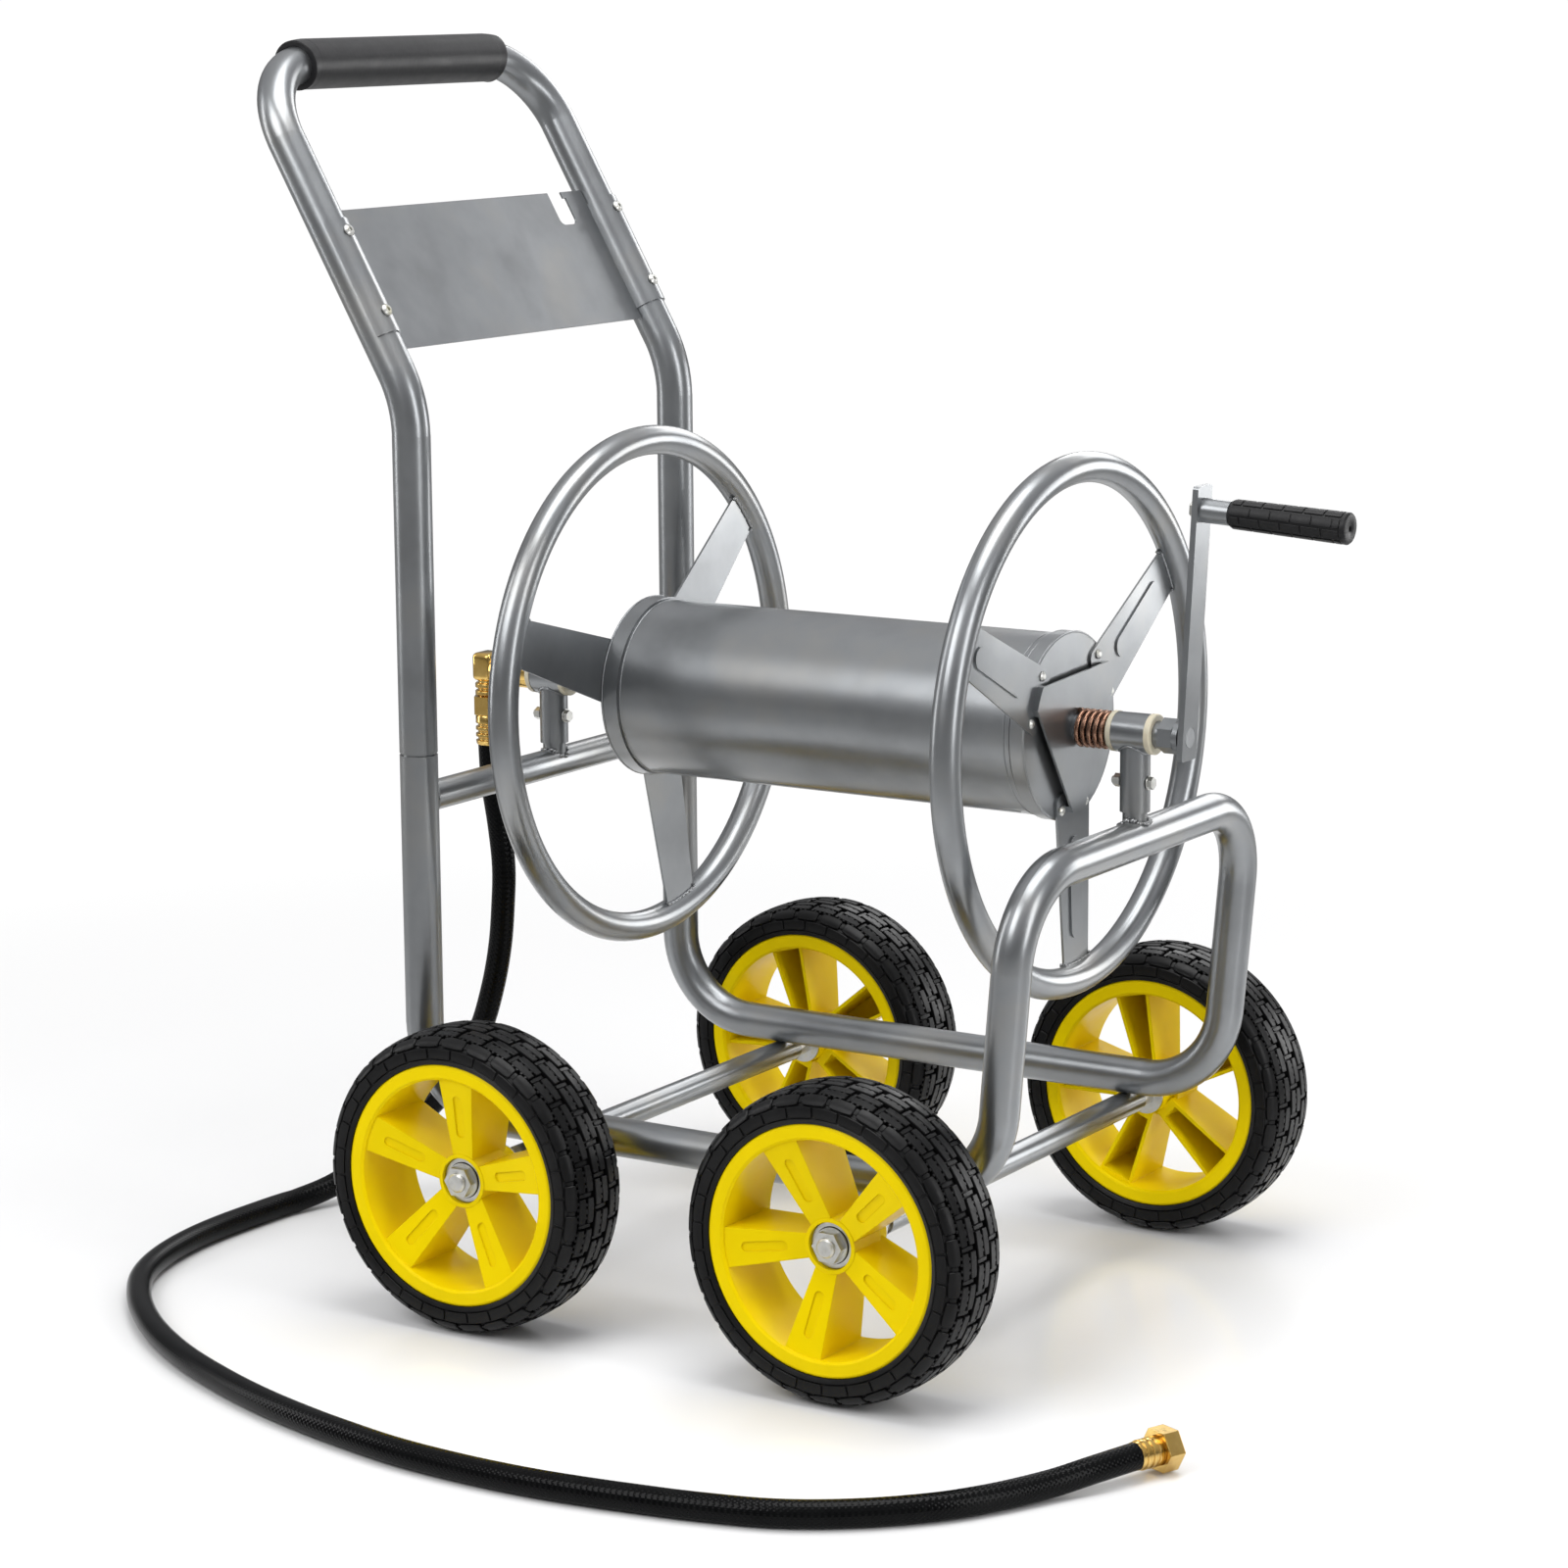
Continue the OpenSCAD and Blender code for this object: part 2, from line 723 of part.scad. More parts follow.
module arm_set(x, ring_x, a0, out) {
  // One flat arm along +Y with a raised stadium bead, repeated about the shaft
  color("Silver") translate([0, 0, reel_z]) difference() {
    around_reel(a0) {
      translate([x, 0, 0]) rotate([90, 0, 90]) linear_extrude(arm_t) arm_outline();
      translate([out > 0 ? x + arm_t : x - 1.5, 0, 0]) rotate([90, 0, 90]) linear_extrude(1.5) {
        translate([100, 0]) circle(9);
        translate([168, 0]) circle(9);
        translate([100, -9]) square([68, 18]);
      }
    }
    translate([ring_x, 0, 0]) rotate([0, 90, 0]) rotate_extrude() translate([ring_r, 0])
      circle(ring_t);
  }
}

module front_arms() {
  arm_set(drum_x1, ring_x1, front_arm_a, 1);
}

module rear_arms() {
  arm_set(drum_x0 - arm_t, ring_x0, rear_arm_a, -1);
}

// Triangle with its three corners cut off
module bracket_shape() {
  intersection() {
    circle(r = bracket_r + 16.5, $fn = 3);
    circle(bracket_r);
  }
}

// Flat sheet held off the arms by a foot in each corner
module hub_bracket() {
  difference() {
    union() {
      translate([0, 0, bracket_h - 2]) linear_extrude(2) bracket_shape();
      linear_extrude(bracket_h - 1) difference() {
        bracket_shape();
        circle(bracket_r - 5);
      }
    }
    translate([0, 0, -1]) cylinder(r = shaft_r, h = bracket_h + 2);
  }
}

module front_bracket() {
  color("Silver") translate([drum_x1 + arm_t, 0, reel_z]) rotate([front_arm_a, 0, 0])
    rotate([90, 0, 90]) hub_bracket();
}

module rear_bracket() {
  color("Silver") translate([drum_x0 - arm_t, 0, reel_z]) rotate([rear_arm_a, 0, 0])
    mirror([1, 0, 0]) rotate([90, 0, 90]) hub_bracket();
}

module rivet_set(x, a0, turn) {
  translate([x, 0, reel_z]) around_reel(a0) for (y = [-20, 20])
    translate([0, 66, y]) rotate([0, turn, 0]) {
      cylinder(r = 4, h = 1);
      translate([0, 0, 1]) cylinder(r1 = 4, r2 = 2, h = 1.4);
    }
}

module arm_rivet() {
  color("Gainsboro") {
    rivet_set(drum_x1 + arm_t, front_arm_a, 90);
    rivet_set(drum_x0 - arm_t, rear_arm_a, -90);
  }
}

module front_shaft() {
  color("Silver") {
    along_x(180) cylinder(r = shaft_r, h = 140);
    along_x(319) cylinder(r = shaft_r - 3, h = crank_x + crank_t / 2 - 319);
  }
}

spigot_x = -366;
elbow_x = -351;

module water_tube() {
  color("Silver") difference() {
    union() {
      along_x(elbow_x + 0.3) cylinder(r = shaft_r, h = -elbow_x - 0.3 - 96);
      along_x(spigot_x) cylinder(r = 8, h = elbow_x + 1 - spigot_x);
    }
    along_x(spigot_x - 1) cylinder(r = 6, h = 300);
  }
}

module outlet_elbow() {
  color("Peru") translate([outlet_x, 0, reel_z]) difference() {
    union() {
      translate([-12, -14, -14]) cube([28, 28, 28]);
      rotate([-90 - outlet_a, 0, 0]) cylinder(r = 12, h = 40);
    }
    translate([-20, 0, 0]) rotate([0, 90, 0]) cylinder(r = 6, h = 22);
    rotate([-90 - outlet_a, 0, 0]) cylinder(r = 7, h = 60);
  }
}

module outlet_nipple() {
  color("Peru") translate([outlet_x, 0, reel_z]) rotate([-90 - outlet_a, 0, 0])
    translate([0, 0, 40]) difference() {
      union() {
        cylinder(r = 11.5, h = 44);
        translate([0, 0, 36]) cylinder(r = 16, h = 5, $fn = 6);
        translate([0, 0, 41]) cylinder(r = 13.45, h = 14);
      }
      translate([0, 0, -1]) cylinder(r = 7, h = 60);
    }
}

module drag_spring() {
  steps = 20;
  wire_n = 8;
  wire_r = spring_wire / 2;
  mean_r = spring_r - wire_r;
  z0 = drum_x1 + arm_t + bracket_h + wire_r;
  z1 = bearing_x1 - bearing_l / 2 - bush_t - wire_r - 0.3;
  count = spring_n * steps;
  function coil(i) = [
    mean_r * cos(360 * i / steps), mean_r * sin(360 * i / steps), (z1 - z0) * i / count
  ];
  pts = [
    for (i = [0:count])
      for (k = [0:wire_n - 1])
        let (a = 360 * i / steps, w = 360 * k / wire_n)
          coil(i) + wire_r * [cos(w) * cos(a), cos(w) * sin(a), sin(w)]
  ];
  sides = [
    for (i = [0:count - 1])
      for (k = [0:wire_n - 1])
        let (m = (k + 1) % wire_n, p = i * wire_n)
          each [[p + k, p + m, p + wire_n + m], [p + k, p + wire_n + m, p + wire_n + k]]
  ];
  first = [for (k = [wire_n - 1:-1:0]) k];
  last = [for (k = [0:wire_n - 1]) count * wire_n + k];
  color("Peru") translate([z0, 0, reel_z]) rotate([0, 90, 0])
    polyhedron(points = pts, faces = concat(sides, [first], [last]));
}

module crank_frame() {
  translate([crank_x, 0, reel_z]) rotate([0, crank_lean, 0]) children();
}

module crank_hub() {
  color("Silver") {
    along_x(304) linear_extrude(12.5) difference() {
      circle(r = 14.5, $fn = 6);
      circle(shaft_r);
    }
    along_x(316) linear_extrude(5.2) ring2d(13, 13 - shaft_r);
  }
}

module crank_arm() {
  // Flat bar with small round corners, z0 below the shaft and z1 above it
  z0 = -18.5;
  z1 = crank_r + 19.5;
  corner = 3;
  color("Silver") crank_frame() difference() {
    union() {
      translate([-crank_t / 2, -crank_w / 2, z0 + corner])
        cube([crank_t, crank_w, z1 - z0 - 2 * corner]);
      translate([-crank_t / 2, corner - crank_w / 2, z0])
        cube([crank_t, crank_w - 2 * corner, z1 - z0]);
      for (y = [corner - crank_w / 2, crank_w / 2 - corner], z = [z0 + corner, z1 - corner])
        translate([-crank_t / 2, y, z]) rotate([0, 90, 0]) cylinder(r = corner, h = crank_t);
    }
    rotate([0, -crank_lean, 0]) translate([-9, 0, 0]) rotate([0, 90, 0])
      cylinder(r = shaft_r - 3, h = 18);
    translate([-9, 0, crank_r]) rotate([0, 90, 0]) cylinder(r = pin_r, h = 18);
  }
}

// Distances along the pin from the middle of the arm
grip_x0 = crank_t / 2 + spacer_l + thrust;
pin_head_x = grip_x0 + grip_l - 12;

module crank_pin() {
  color("Gainsboro") crank_frame() translate([0, 0, crank_r]) rotate([0, 90, 0]) {
    translate([0, 0, -crank_t / 2 - 5]) cylinder(r = 7.5, h = 5, $fn = 6);
    translate([0, 0, -crank_t / 2]) cylinder(r = pin_r, h = pin_head_x + crank_t / 2);
    translate([0, 0, pin_head_x]) cylinder(r = 7, h = 3);
  }
}

module crank_spacer() {
  color("Silver") crank_frame() translate([crank_t / 2, 0, crank_r]) rotate([0, 90, 0])
    linear_extrude(spacer_l) ring2d(9.8, 9.8 - pin_r);
}

module crank_grip() {
  // Sleeve with room for the pin head and a small vent in its closed end
  color("DimGray") crank_frame() translate([grip_x0, 0, crank_r]) rotate([0, 90, 0])
    difference() {
      union() {
        cylinder(r1 = grip_r0 - 1.5, r2 = grip_r0, h = 1.5);
        translate([0, 0, 1.5]) cylinder(r1 = grip_r0, r2 = grip_r1, h = grip_l - 3);
        translate([0, 0, grip_l - 1.5]) cylinder(r1 = grip_r1, r2 = grip_r1 - 1.5, h = 1.5);
      }
      translate([0, 0, -1]) cylinder(r = pin_r + run_gap, h = grip_l - 10);
      translate([0, 0, grip_l - 12.5]) cylinder(r = 7.4, h = 8);
      cylinder(r = 1.6, h = grip_l + 1);
    }
}

module inlet_elbow() {
  color("Peru") difference() {
    union() {
      translate([elbow_x - 20, -12, 485]) cube([20, 24, 25]);
      along_x(elbow_x - 2) cylinder(r = 13.5, h = collar_x1 - elbow_x + 2);
      translate([inlet_x, 0, 455]) cylinder(r = 9.5, h = 40);
      translate([inlet_x, 0, inlet_z]) cylinder(r = 6.5, h = 40);
      for (z = [472, 478.5])
        translate([inlet_x, 0, z]) cylinder(r = 12, h = 4.5);
    }
    along_x(spigot_x - 1) cylinder(r = 8 + run_gap, h = 20);
    along_x(elbow_x) cylinder(r = shaft_r + run_gap, h = 60);
    translate([inlet_x, 0, inlet_z - 1]) cylinder(r = 5, h = reel_z - inlet_z);
  }
}

module inlet_nut() {
  color("Peru") translate([inlet_x, 0, 455]) linear_extrude(16) difference() {
    circle(r = 14.4, $fn = 6);
    circle(9.5);
  }
}

module inlet_ferrule() {
  color("Peru") translate([inlet_x, 0, inlet_z]) linear_extrude(27) ring2d(12.3, 5.8);
}

module hose() {
  n = len(route);
  r = hose_d / 2;
  pts = [
    for (i = [0:n - 1])
      let (t = end_dir(route, i), a = side_vec(route, i), b = cross(t, a))
        for (k = [0:HOSE_SIDES - 1])
          route[i] + r * (cos(360 * k / HOSE_SIDES) * a + sin(360 * k / HOSE_SIDES) * b)
  ];
  sides = [
    for (i = [0:n - 2])
      for (k = [0:HOSE_SIDES - 1])
        let (m = (k + 1) % HOSE_SIDES, p = i * HOSE_SIDES)
          each [
            [p + m, p + k, p + HOSE_SIDES + k],
            [p + m, p + HOSE_SIDES + k, p + HOSE_SIDES + m]
          ]
  ];
  first = [for (k = [0:HOSE_SIDES - 1]) k];
  last = [for (k = [HOSE_SIDES - 1:-1:0]) (n - 1) * HOSE_SIDES + k];
  color("DarkSlateGray") polyhedron(points = pts, faces = concat(sides, [first], [last]));
}

module end_frame(l) {
  translate([end_x, end_y, end_z]) rotate([0, 0, -end_turn]) rotate([-90, 0, 0])
    translate([0, 0, l]) children();
}

module hose_ferrule() {
  color("Peru") end_frame(0) difference() {
    union() {
      cylinder(r = 10.8, h = 20);
      for (z = [4, 10, 15.5])
        translate([0, 0, z]) cylinder(r = 11.6, h = 3);
      cylinder(r = 8, h = 24);
      translate([0, 0, 23.5]) cylinder(r = 11, h = 2.5);
    }
    translate([0, 0, -1]) cylinder(r = 5, h = 50);
  }
}

module swivel_nut() {
  color("Peru") end_frame(20.2) difference() {
    cylinder(r = 17.5, h = 14.5, $fn = 6);
    translate([0, 0, -1]) cylinder(r = 8 + run_gap, h = 20);
    translate([0, 0, 3]) cylinder(r = 14.1, h = 3);
    translate([0, 0, 6]) cylinder(r = 13.45, h = 40);
  }
}

near_side_tube();
far_side_tube();
front_loop();
handle_tube();
joint_sleeve();
cross_bar();
foam_grip();
back_plate();
plate_screw();
rear_axle_sleeve();
front_axle_sleeve();
rear_axle();
front_axle();
wheel_washer();
lock_nut();
front_bearing();
rear_bearing();
front_stub();
rear_stub();
bearing_bolt();
bearing_nut();
bearing_bush();
inlet_elbow();
inlet_nut();
inlet_ferrule();
hose();
hose_ferrule();
swivel_nut();
drum_shell();
drum_front_disc();
drum_rear_cap();
front_ring();
rear_ring();
front_arms();
rear_arms();
front_bracket();
rear_bracket();
arm_rivet();
front_shaft();
water_tube();
outlet_elbow();
outlet_nipple();
drag_spring();
crank_hub();
crank_arm();
crank_pin();
crank_spacer();
crank_grip();
near_rear_tyre();
near_rear_hub();
near_front_tyre();
near_front_hub();
far_rear_tyre();
far_rear_hub();
far_front_tyre();
far_front_hub();
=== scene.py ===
import json
import math
import random

import bmesh
import bpy
from mathutils import Matrix, Vector


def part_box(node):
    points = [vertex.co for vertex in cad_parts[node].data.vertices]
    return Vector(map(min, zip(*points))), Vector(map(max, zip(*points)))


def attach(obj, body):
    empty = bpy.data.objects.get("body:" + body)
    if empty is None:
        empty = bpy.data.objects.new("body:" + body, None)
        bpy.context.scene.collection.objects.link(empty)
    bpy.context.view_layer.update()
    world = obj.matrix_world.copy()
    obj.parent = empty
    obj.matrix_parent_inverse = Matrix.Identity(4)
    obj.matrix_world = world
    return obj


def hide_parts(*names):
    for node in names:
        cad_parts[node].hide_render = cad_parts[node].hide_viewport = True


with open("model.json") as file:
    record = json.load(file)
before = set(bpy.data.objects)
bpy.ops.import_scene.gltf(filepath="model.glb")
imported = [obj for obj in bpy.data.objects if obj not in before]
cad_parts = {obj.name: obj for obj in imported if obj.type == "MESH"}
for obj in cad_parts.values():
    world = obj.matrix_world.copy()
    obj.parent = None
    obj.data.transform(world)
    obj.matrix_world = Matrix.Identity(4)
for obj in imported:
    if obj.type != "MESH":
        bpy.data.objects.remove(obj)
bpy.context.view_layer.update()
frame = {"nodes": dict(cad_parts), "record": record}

MM = 0.001
scene = bpy.context.scene

# ---------------------------------------------------------------- measures, millimetres
POST_X, SIDE_Y, TUBE_R = -291.0, 195.5, 16.0     # rear posts
LOOP_X, STUB_X = 281.0, 278.5                    # top of the front loop, and the stub on it
BAR_Z, BAR_R = 418.0, 13.0                       # rear cross bar
REEL_Z = 495.0
REAR_X, FRONT_X, WHEEL_Y, TYRE_R = -184.0, 169.0, 274.0, 127.0
HOSE_D, HOSE_SIDES, HOSE_STEPS = 21.0, 28, 5
# Centre line of the leader hose, from the inlet ferrule down to the floor and to its nut
ROUTE = [
    (-360.5, 0, 428), (-358.5, 0, 394), (-353, 1, 356), (-349, 1, 318), (-350, 0, 282),
    (-354, 0, 246), (-362, -1, 208), (-375, -3, 168), (-396, -7, 130), (-426, -13, 92),
    (-464, -24, 55), (-499, -54, 21), (-517, -98, 10.5), (-522, -152, 10.5),
    (-523, -205, 10.5), (-518, -254, 10.5), (-507, -297, 10.5), (-490, -336, 10.5),
    (-466, -370, 10.5), (-428, -410, 10.5), (-376, -452, 10.5), (-314, -490, 10.5),
    (-249, -520, 10.5), (-193, -541, 10.5), (-142, -556, 10.5), (-96, -567, 10.5),
    (-36, -578, 10.5), (25, -582, 10.5), (80, -581, 10.5), (127, -576, 10.5),
    (175, -568, 10.5), (219, -559, 10.5), (275, -542, 10.5), (323, -513, 10.5),
    (365, -474, 10.5), (392, -436, 10.5), (416, -391, 11.5), (433, -359, 15),
    (450, -321, 17.6),
]
END_TURN = math.radians(22)      # the hose end's heading, from +Y towards +X

# ---------------------------------------------------------------- camera
# Turned from the near side towards the front, tilted down, and rolled, as the photograph is
CAMERA_AT, LENS_MM, SENSOR_MM = (1.8374, -2.9984, 1.0999), 98.16, 36
az, el, roll = math.radians(32.25), math.radians(10.84), math.radians(-0.41)
forward = Vector((-math.sin(az) * math.cos(el), math.cos(az) * math.cos(el), -math.sin(el)))
flat_right = Vector((math.cos(az), math.sin(az), 0))
flat_up = flat_right.cross(forward)
right = math.cos(roll) * flat_right + math.sin(roll) * flat_up
up = right.cross(forward)
cam_data = bpy.data.cameras.new("camera")
cam_data.lens = LENS_MM
cam_data.sensor_width = SENSOR_MM
cam = bpy.data.objects.new("camera", cam_data)
scene.collection.objects.link(cam)
turn = Matrix((right, up, -forward)).transposed().to_4x4()
cam.matrix_world = Matrix.Translation(CAMERA_AT) @ turn
scene.camera = cam


# ---------------------------------------------------------------- node helpers
def material(name):
    """A new material, its node tree and its surface node."""
    m = bpy.data.materials.new(name)
    m.use_nodes = True
    return m, m.node_tree, m.node_tree.nodes["Principled BSDF"]


def node(tree, kind, **sets):
    """A node with some of its inputs or properties set."""
    n = tree.nodes.new(kind)
    for k, v in sets.items():
        if k in n.inputs:
            n.inputs[k].default_value = v
        else:
            setattr(n, k, v)
    return n


def noise(tree, scale, detail=4.0, rough=0.55):
    """Noise of about 0.3 to 0.7, with scale features to the metre."""
    coord = tree.nodes.new("ShaderNodeTexCoord")
    n = node(tree, "ShaderNodeTexNoise", Scale=scale, Detail=detail, Roughness=rough)
    tree.links.new(coord.outputs["Object"], n.inputs["Vector"])
    return n.outputs["Fac"]


def ramp(tree, fac, stops):
    """A colour for each value of a factor."""
    r = tree.nodes.new("ShaderNodeValToRGB")
    while len(r.color_ramp.elements) < len(stops):
        r.color_ramp.elements.new(0.5)
    for e, (pos, col) in zip(r.color_ramp.elements, stops):
        e.position = pos
        e.color = (*col, 1)
    tree.links.new(fac, r.inputs["Fac"])
    return r.outputs["Color"]


def spread(tree, fac, low, high, f0=0.3, f1=0.7):
    """A factor of f0 to f1 made into a value of low to high."""
    m = tree.nodes.new("ShaderNodeMapRange")
    m.inputs["From Min"].default_value = f0
    m.inputs["From Max"].default_value = f1
    m.inputs["To Min"].default_value = low
    m.inputs["To Max"].default_value = high
    tree.links.new(fac, m.inputs["Value"])
    return m.outputs["Result"]


def bump(tree, bsdf, height, strength, distance, before=None):
    """Relief in the surface's normal, on top of the normal given as before."""
    b = node(tree, "ShaderNodeBump", Strength=strength, Distance=distance)
    tree.links.new(height, b.inputs["Height"])
    if before is not None:
        tree.links.new(before, b.inputs["Normal"])
    tree.links.new(b.outputs["Normal"], bsdf.inputs["Normal"])
    return b.outputs["Normal"]


def soft_edge(tree, radius_mm):
    """A normal that rounds off sharp edges by a small radius."""
    n = node(tree, "ShaderNodeBevel", Radius=radius_mm * MM)
    n.samples = 4
    return n.outputs["Normal"]


def product(tree, a, b):
    """The product of two factors."""
    m = node(tree, "ShaderNodeMath", operation="MULTIPLY")
    tree.links.new(a, m.inputs[0])
    tree.links.new(b, m.inputs[1])
    return m.outputs[0]


def paint():
    m, t, b = material("silver_paint")
    b.inputs["Metallic"].default_value = 0.9
    b.inputs["Coat Weight"].default_value = 0.3
    b.inputs["Coat Roughness"].default_value = 0.16
    cloud = noise(t, 9.0, 4.0, 0.6)
    col = ramp(t, cloud, [(0.32, (0.222, 0.230, 0.238)), (0.5, (0.262, 0.273, 0.283)),
                          (0.68, (0.292, 0.292, 0.286))])
    t.links.new(col, b.inputs["Base Color"])
    # A range that goes down to 0.25 leaves curled marks on denoised renders of flat sheet
    t.links.new(spread(t, noise(t, 16.0, 3.0, 0.5), 0.285, 0.345), b.inputs["Roughness"])
    n0 = bump(t, b, noise(t, 14.0, 2.0), 0.22, 0.0025)
    bump(t, b, noise(t, 190.0, 2.0), 0.05, 0.0004, n0)
    return m


def zinc():
    m, t, b = material("zinc")
    b.inputs["Metallic"].default_value = 1.0
    col = ramp(t, noise(t, 90.0), [(0.3, (0.50, 0.50, 0.47)), (0.55, (0.62, 0.62, 0.60)),
                                   (0.72, (0.60, 0.58, 0.44))])
    t.links.new(col, b.inputs["Base Color"])
    t.links.new(spread(t, noise(t, 160.0, 2.0), 0.30, 0.42), b.inputs["Roughness"])
    bump(t, b, noise(t, 120.0, 1.0), 0.03, 0.0004, soft_edge(t, 0.6))
    return m


def brass():
    m, t, b = material("brass")
    b.inputs["Metallic"].default_value = 1.0
    col = ramp(t, noise(t, 70.0), [(0.3, (0.60, 0.385, 0.105)), (0.7, (0.74, 0.51, 0.17))])
    t.links.new(col, b.inputs["Base Color"])
    t.links.new(spread(t, noise(t, 110.0, 2.0), 0.11, 0.20), b.inputs["Roughness"])
    bump(t, b, noise(t, 260.0, 2.0), 0.06, 0.0003, soft_edge(t, 0.8))
    return m


def tyre_rubber():
    m, t, b = material("tyre_rubber")
    b.inputs["Specular IOR Level"].default_value = 0.17
    col = ramp(t, noise(t, 40.0), [(0.3, (0.0040, 0.0040, 0.0042)),
                                   (0.7, (0.0075, 0.0075, 0.0078))])
    t.links.new(col, b.inputs["Base Color"])
    t.links.new(spread(t, noise(t, 120.0), 0.28, 0.42), b.inputs["Roughness"])
    n0 = bump(t, b, noise(t, 110.0, 3.0), 0.20, 0.0008)
    bump(t, b, noise(t, 900.0, 3.0), 0.14, 0.0003, n0)
    return m


def yellow_plastic():
    m, t, b = material("yellow_plastic")
    b.inputs["Specular IOR Level"].default_value = 0.05
    b.inputs["Subsurface Weight"].default_value = 0.05
    b.inputs["Subsurface Radius"].default_value = (0.004, 0.003, 0.001)
    col = ramp(t, noise(t, 12.0), [(0.3, (0.80, 0.60, 0.0004)), (0.7, (0.87, 0.66, 0.0005))])
    t.links.new(col, b.inputs["Base Color"])
    t.links.new(spread(t, noise(t, 90.0), 0.28, 0.40), b.inputs["Roughness"])
    n0 = bump(t, b, noise(t, 26.0, 3.0), 0.12, 0.0012, soft_edge(t, 1.2))
    bump(t, b, noise(t, 500.0, 3.0), 0.05, 0.0003, n0)
    return m


def foam():
    m, t, b = material("foam")
    b.inputs["Specular IOR Level"].default_value = 0.30
    b.inputs["Sheen Weight"].default_value = 0.04
    b.inputs["Sheen Roughness"].default_value = 0.45
    col = ramp(t, noise(t, 260.0), [(0.3, (0.010, 0.010, 0.011)),
                                    (0.7, (0.017, 0.017, 0.018))])
    t.links.new(col, b.inputs["Base Color"])
    t.links.new(spread(t, noise(t, 60.0), 0.34, 0.44), b.inputs["Roughness"])
    n0 = bump(t, b, noise(t, 16.0, 2.0), 0.35, 0.003, soft_edge(t, 2.5))
    bump(t, b, noise(t, 500.0, 2.0), 0.06, 0.0003, n0)
    return m


def grip_rubber():
    m, t, b = material("grip_rubber")
    b.inputs["Specular IOR Level"].default_value = 0.26
    col = ramp(t, noise(t, 120.0), [(0.3, (0.0060, 0.0060, 0.0065)),
                                    (0.7, (0.011, 0.011, 0.012))])
    t.links.new(col, b.inputs["Base Color"])
    t.links.new(spread(t, noise(t, 400.0), 0.38, 0.50), b.inputs["Roughness"])
    bump(t, b, noise(t, 500.0, 2.0), 0.06, 0.0003)
    return m


def hose_rubber():
    m, t, b = material("hose_rubber")
    b.inputs["Specular IOR Level"].default_value = 0.08
    # Two crossed sets of ribs, by metres along and round the hose
    uv = t.nodes.new("ShaderNodeTexCoord")
    waves = []
    for turn_deg in (50, -50):
        mp = t.nodes.new("ShaderNodeMapping")
        mp.inputs["Rotation"].default_value = (0, 0, math.radians(turn_deg))
        t.links.new(uv.outputs["UV"], mp.inputs["Vector"])
        w = node(t, "ShaderNodeTexWave", Scale=105.0, Distortion=0.0)
        t.links.new(mp.outputs["Vector"], w.inputs["Vector"])
        waves.append(w.outputs["Fac"])
    weave = product(t, *waves)
    col = ramp(t, noise(t, 60.0), [(0.3, (0.0018, 0.0019, 0.0021)),
                                   (0.7, (0.0038, 0.0040, 0.0042))])
    t.links.new(col, b.inputs["Base Color"])
    t.links.new(spread(t, noise(t, 30.0), 0.10, 0.18), b.inputs["Roughness"])
    n0 = bump(t, b, weave, 0.3, 0.0006)
    bump(t, b, noise(t, 600.0), 0.12, 0.0003, n0)
    return m


def nylon():
    m, t, b = material("nylon")
    b.inputs["Subsurface Weight"].default_value = 0.15
    b.inputs["Subsurface Radius"].default_value = (0.003, 0.002, 0.0015)
    col = ramp(t, noise(t, 60.0), [(0.3, (0.54, 0.49, 0.36)), (0.7, (0.64, 0.59, 0.46))])
    t.links.new(col, b.inputs["Base Color"])
    t.links.new(spread(t, noise(t, 200.0), 0.38, 0.5), b.inputs["Roughness"])
    bump(t, b, noise(t, 700.0), 0.08, 0.0003, soft_edge(t, 0.8))
    return m


def copper():
    m, t, b = material("copper_wire")
    b.inputs["Metallic"].default_value = 1.0
    col = ramp(t, noise(t, 180.0), [(0.3, (0.22, 0.115, 0.075)), (0.7, (0.40, 0.235, 0.165))])
    t.links.new(col, b.inputs["Base Color"])
    t.links.new(spread(t, noise(t, 300.0), 0.20, 0.32), b.inputs["Roughness"])
    bump(t, b, noise(t, 1200.0), 0.12, 0.0002)
    return m


MAT = {
    "silver_paint": paint(), "zinc": zinc(), "brass": brass(), "tyre_rubber": tyre_rubber(),
    "yellow_plastic": yellow_plastic(), "foam": foam(), "grip_rubber": grip_rubber(),
    "hose_rubber": hose_rubber(), "nylon": nylon(), "copper_wire": copper(),
}
SLOT = {s["node"]: s["material_slot"] for s in frame["record"]["subparts"]}
for name, obj in frame["nodes"].items():
    obj.data.materials.clear()
    obj.data.materials.append(MAT[SLOT[name]])


# ---------------------------------------------------------------- mesh helpers
def add_mesh(name, bm, slot, body, smooth):
    """add_object on a mesh that is still being edited."""
    me = bpy.data.meshes.new(name)
    bm.normal_update()
    bm.to_mesh(me)
    bm.free()
    return add_object(name, me, slot, body, smooth)


def add_object(name, me, slot, body, smooth):
    """A piece that rides on a body, shaded smooth below an edge angle in degrees."""
    ob = bpy.data.objects.new(name, me)
    scene.collection.objects.link(ob)
    if not me.materials:
        me.materials.append(MAT[slot])
    me.shade_smooth()
    me.set_sharp_from_angle(angle=math.radians(smooth))
    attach(ob, body)
    return ob


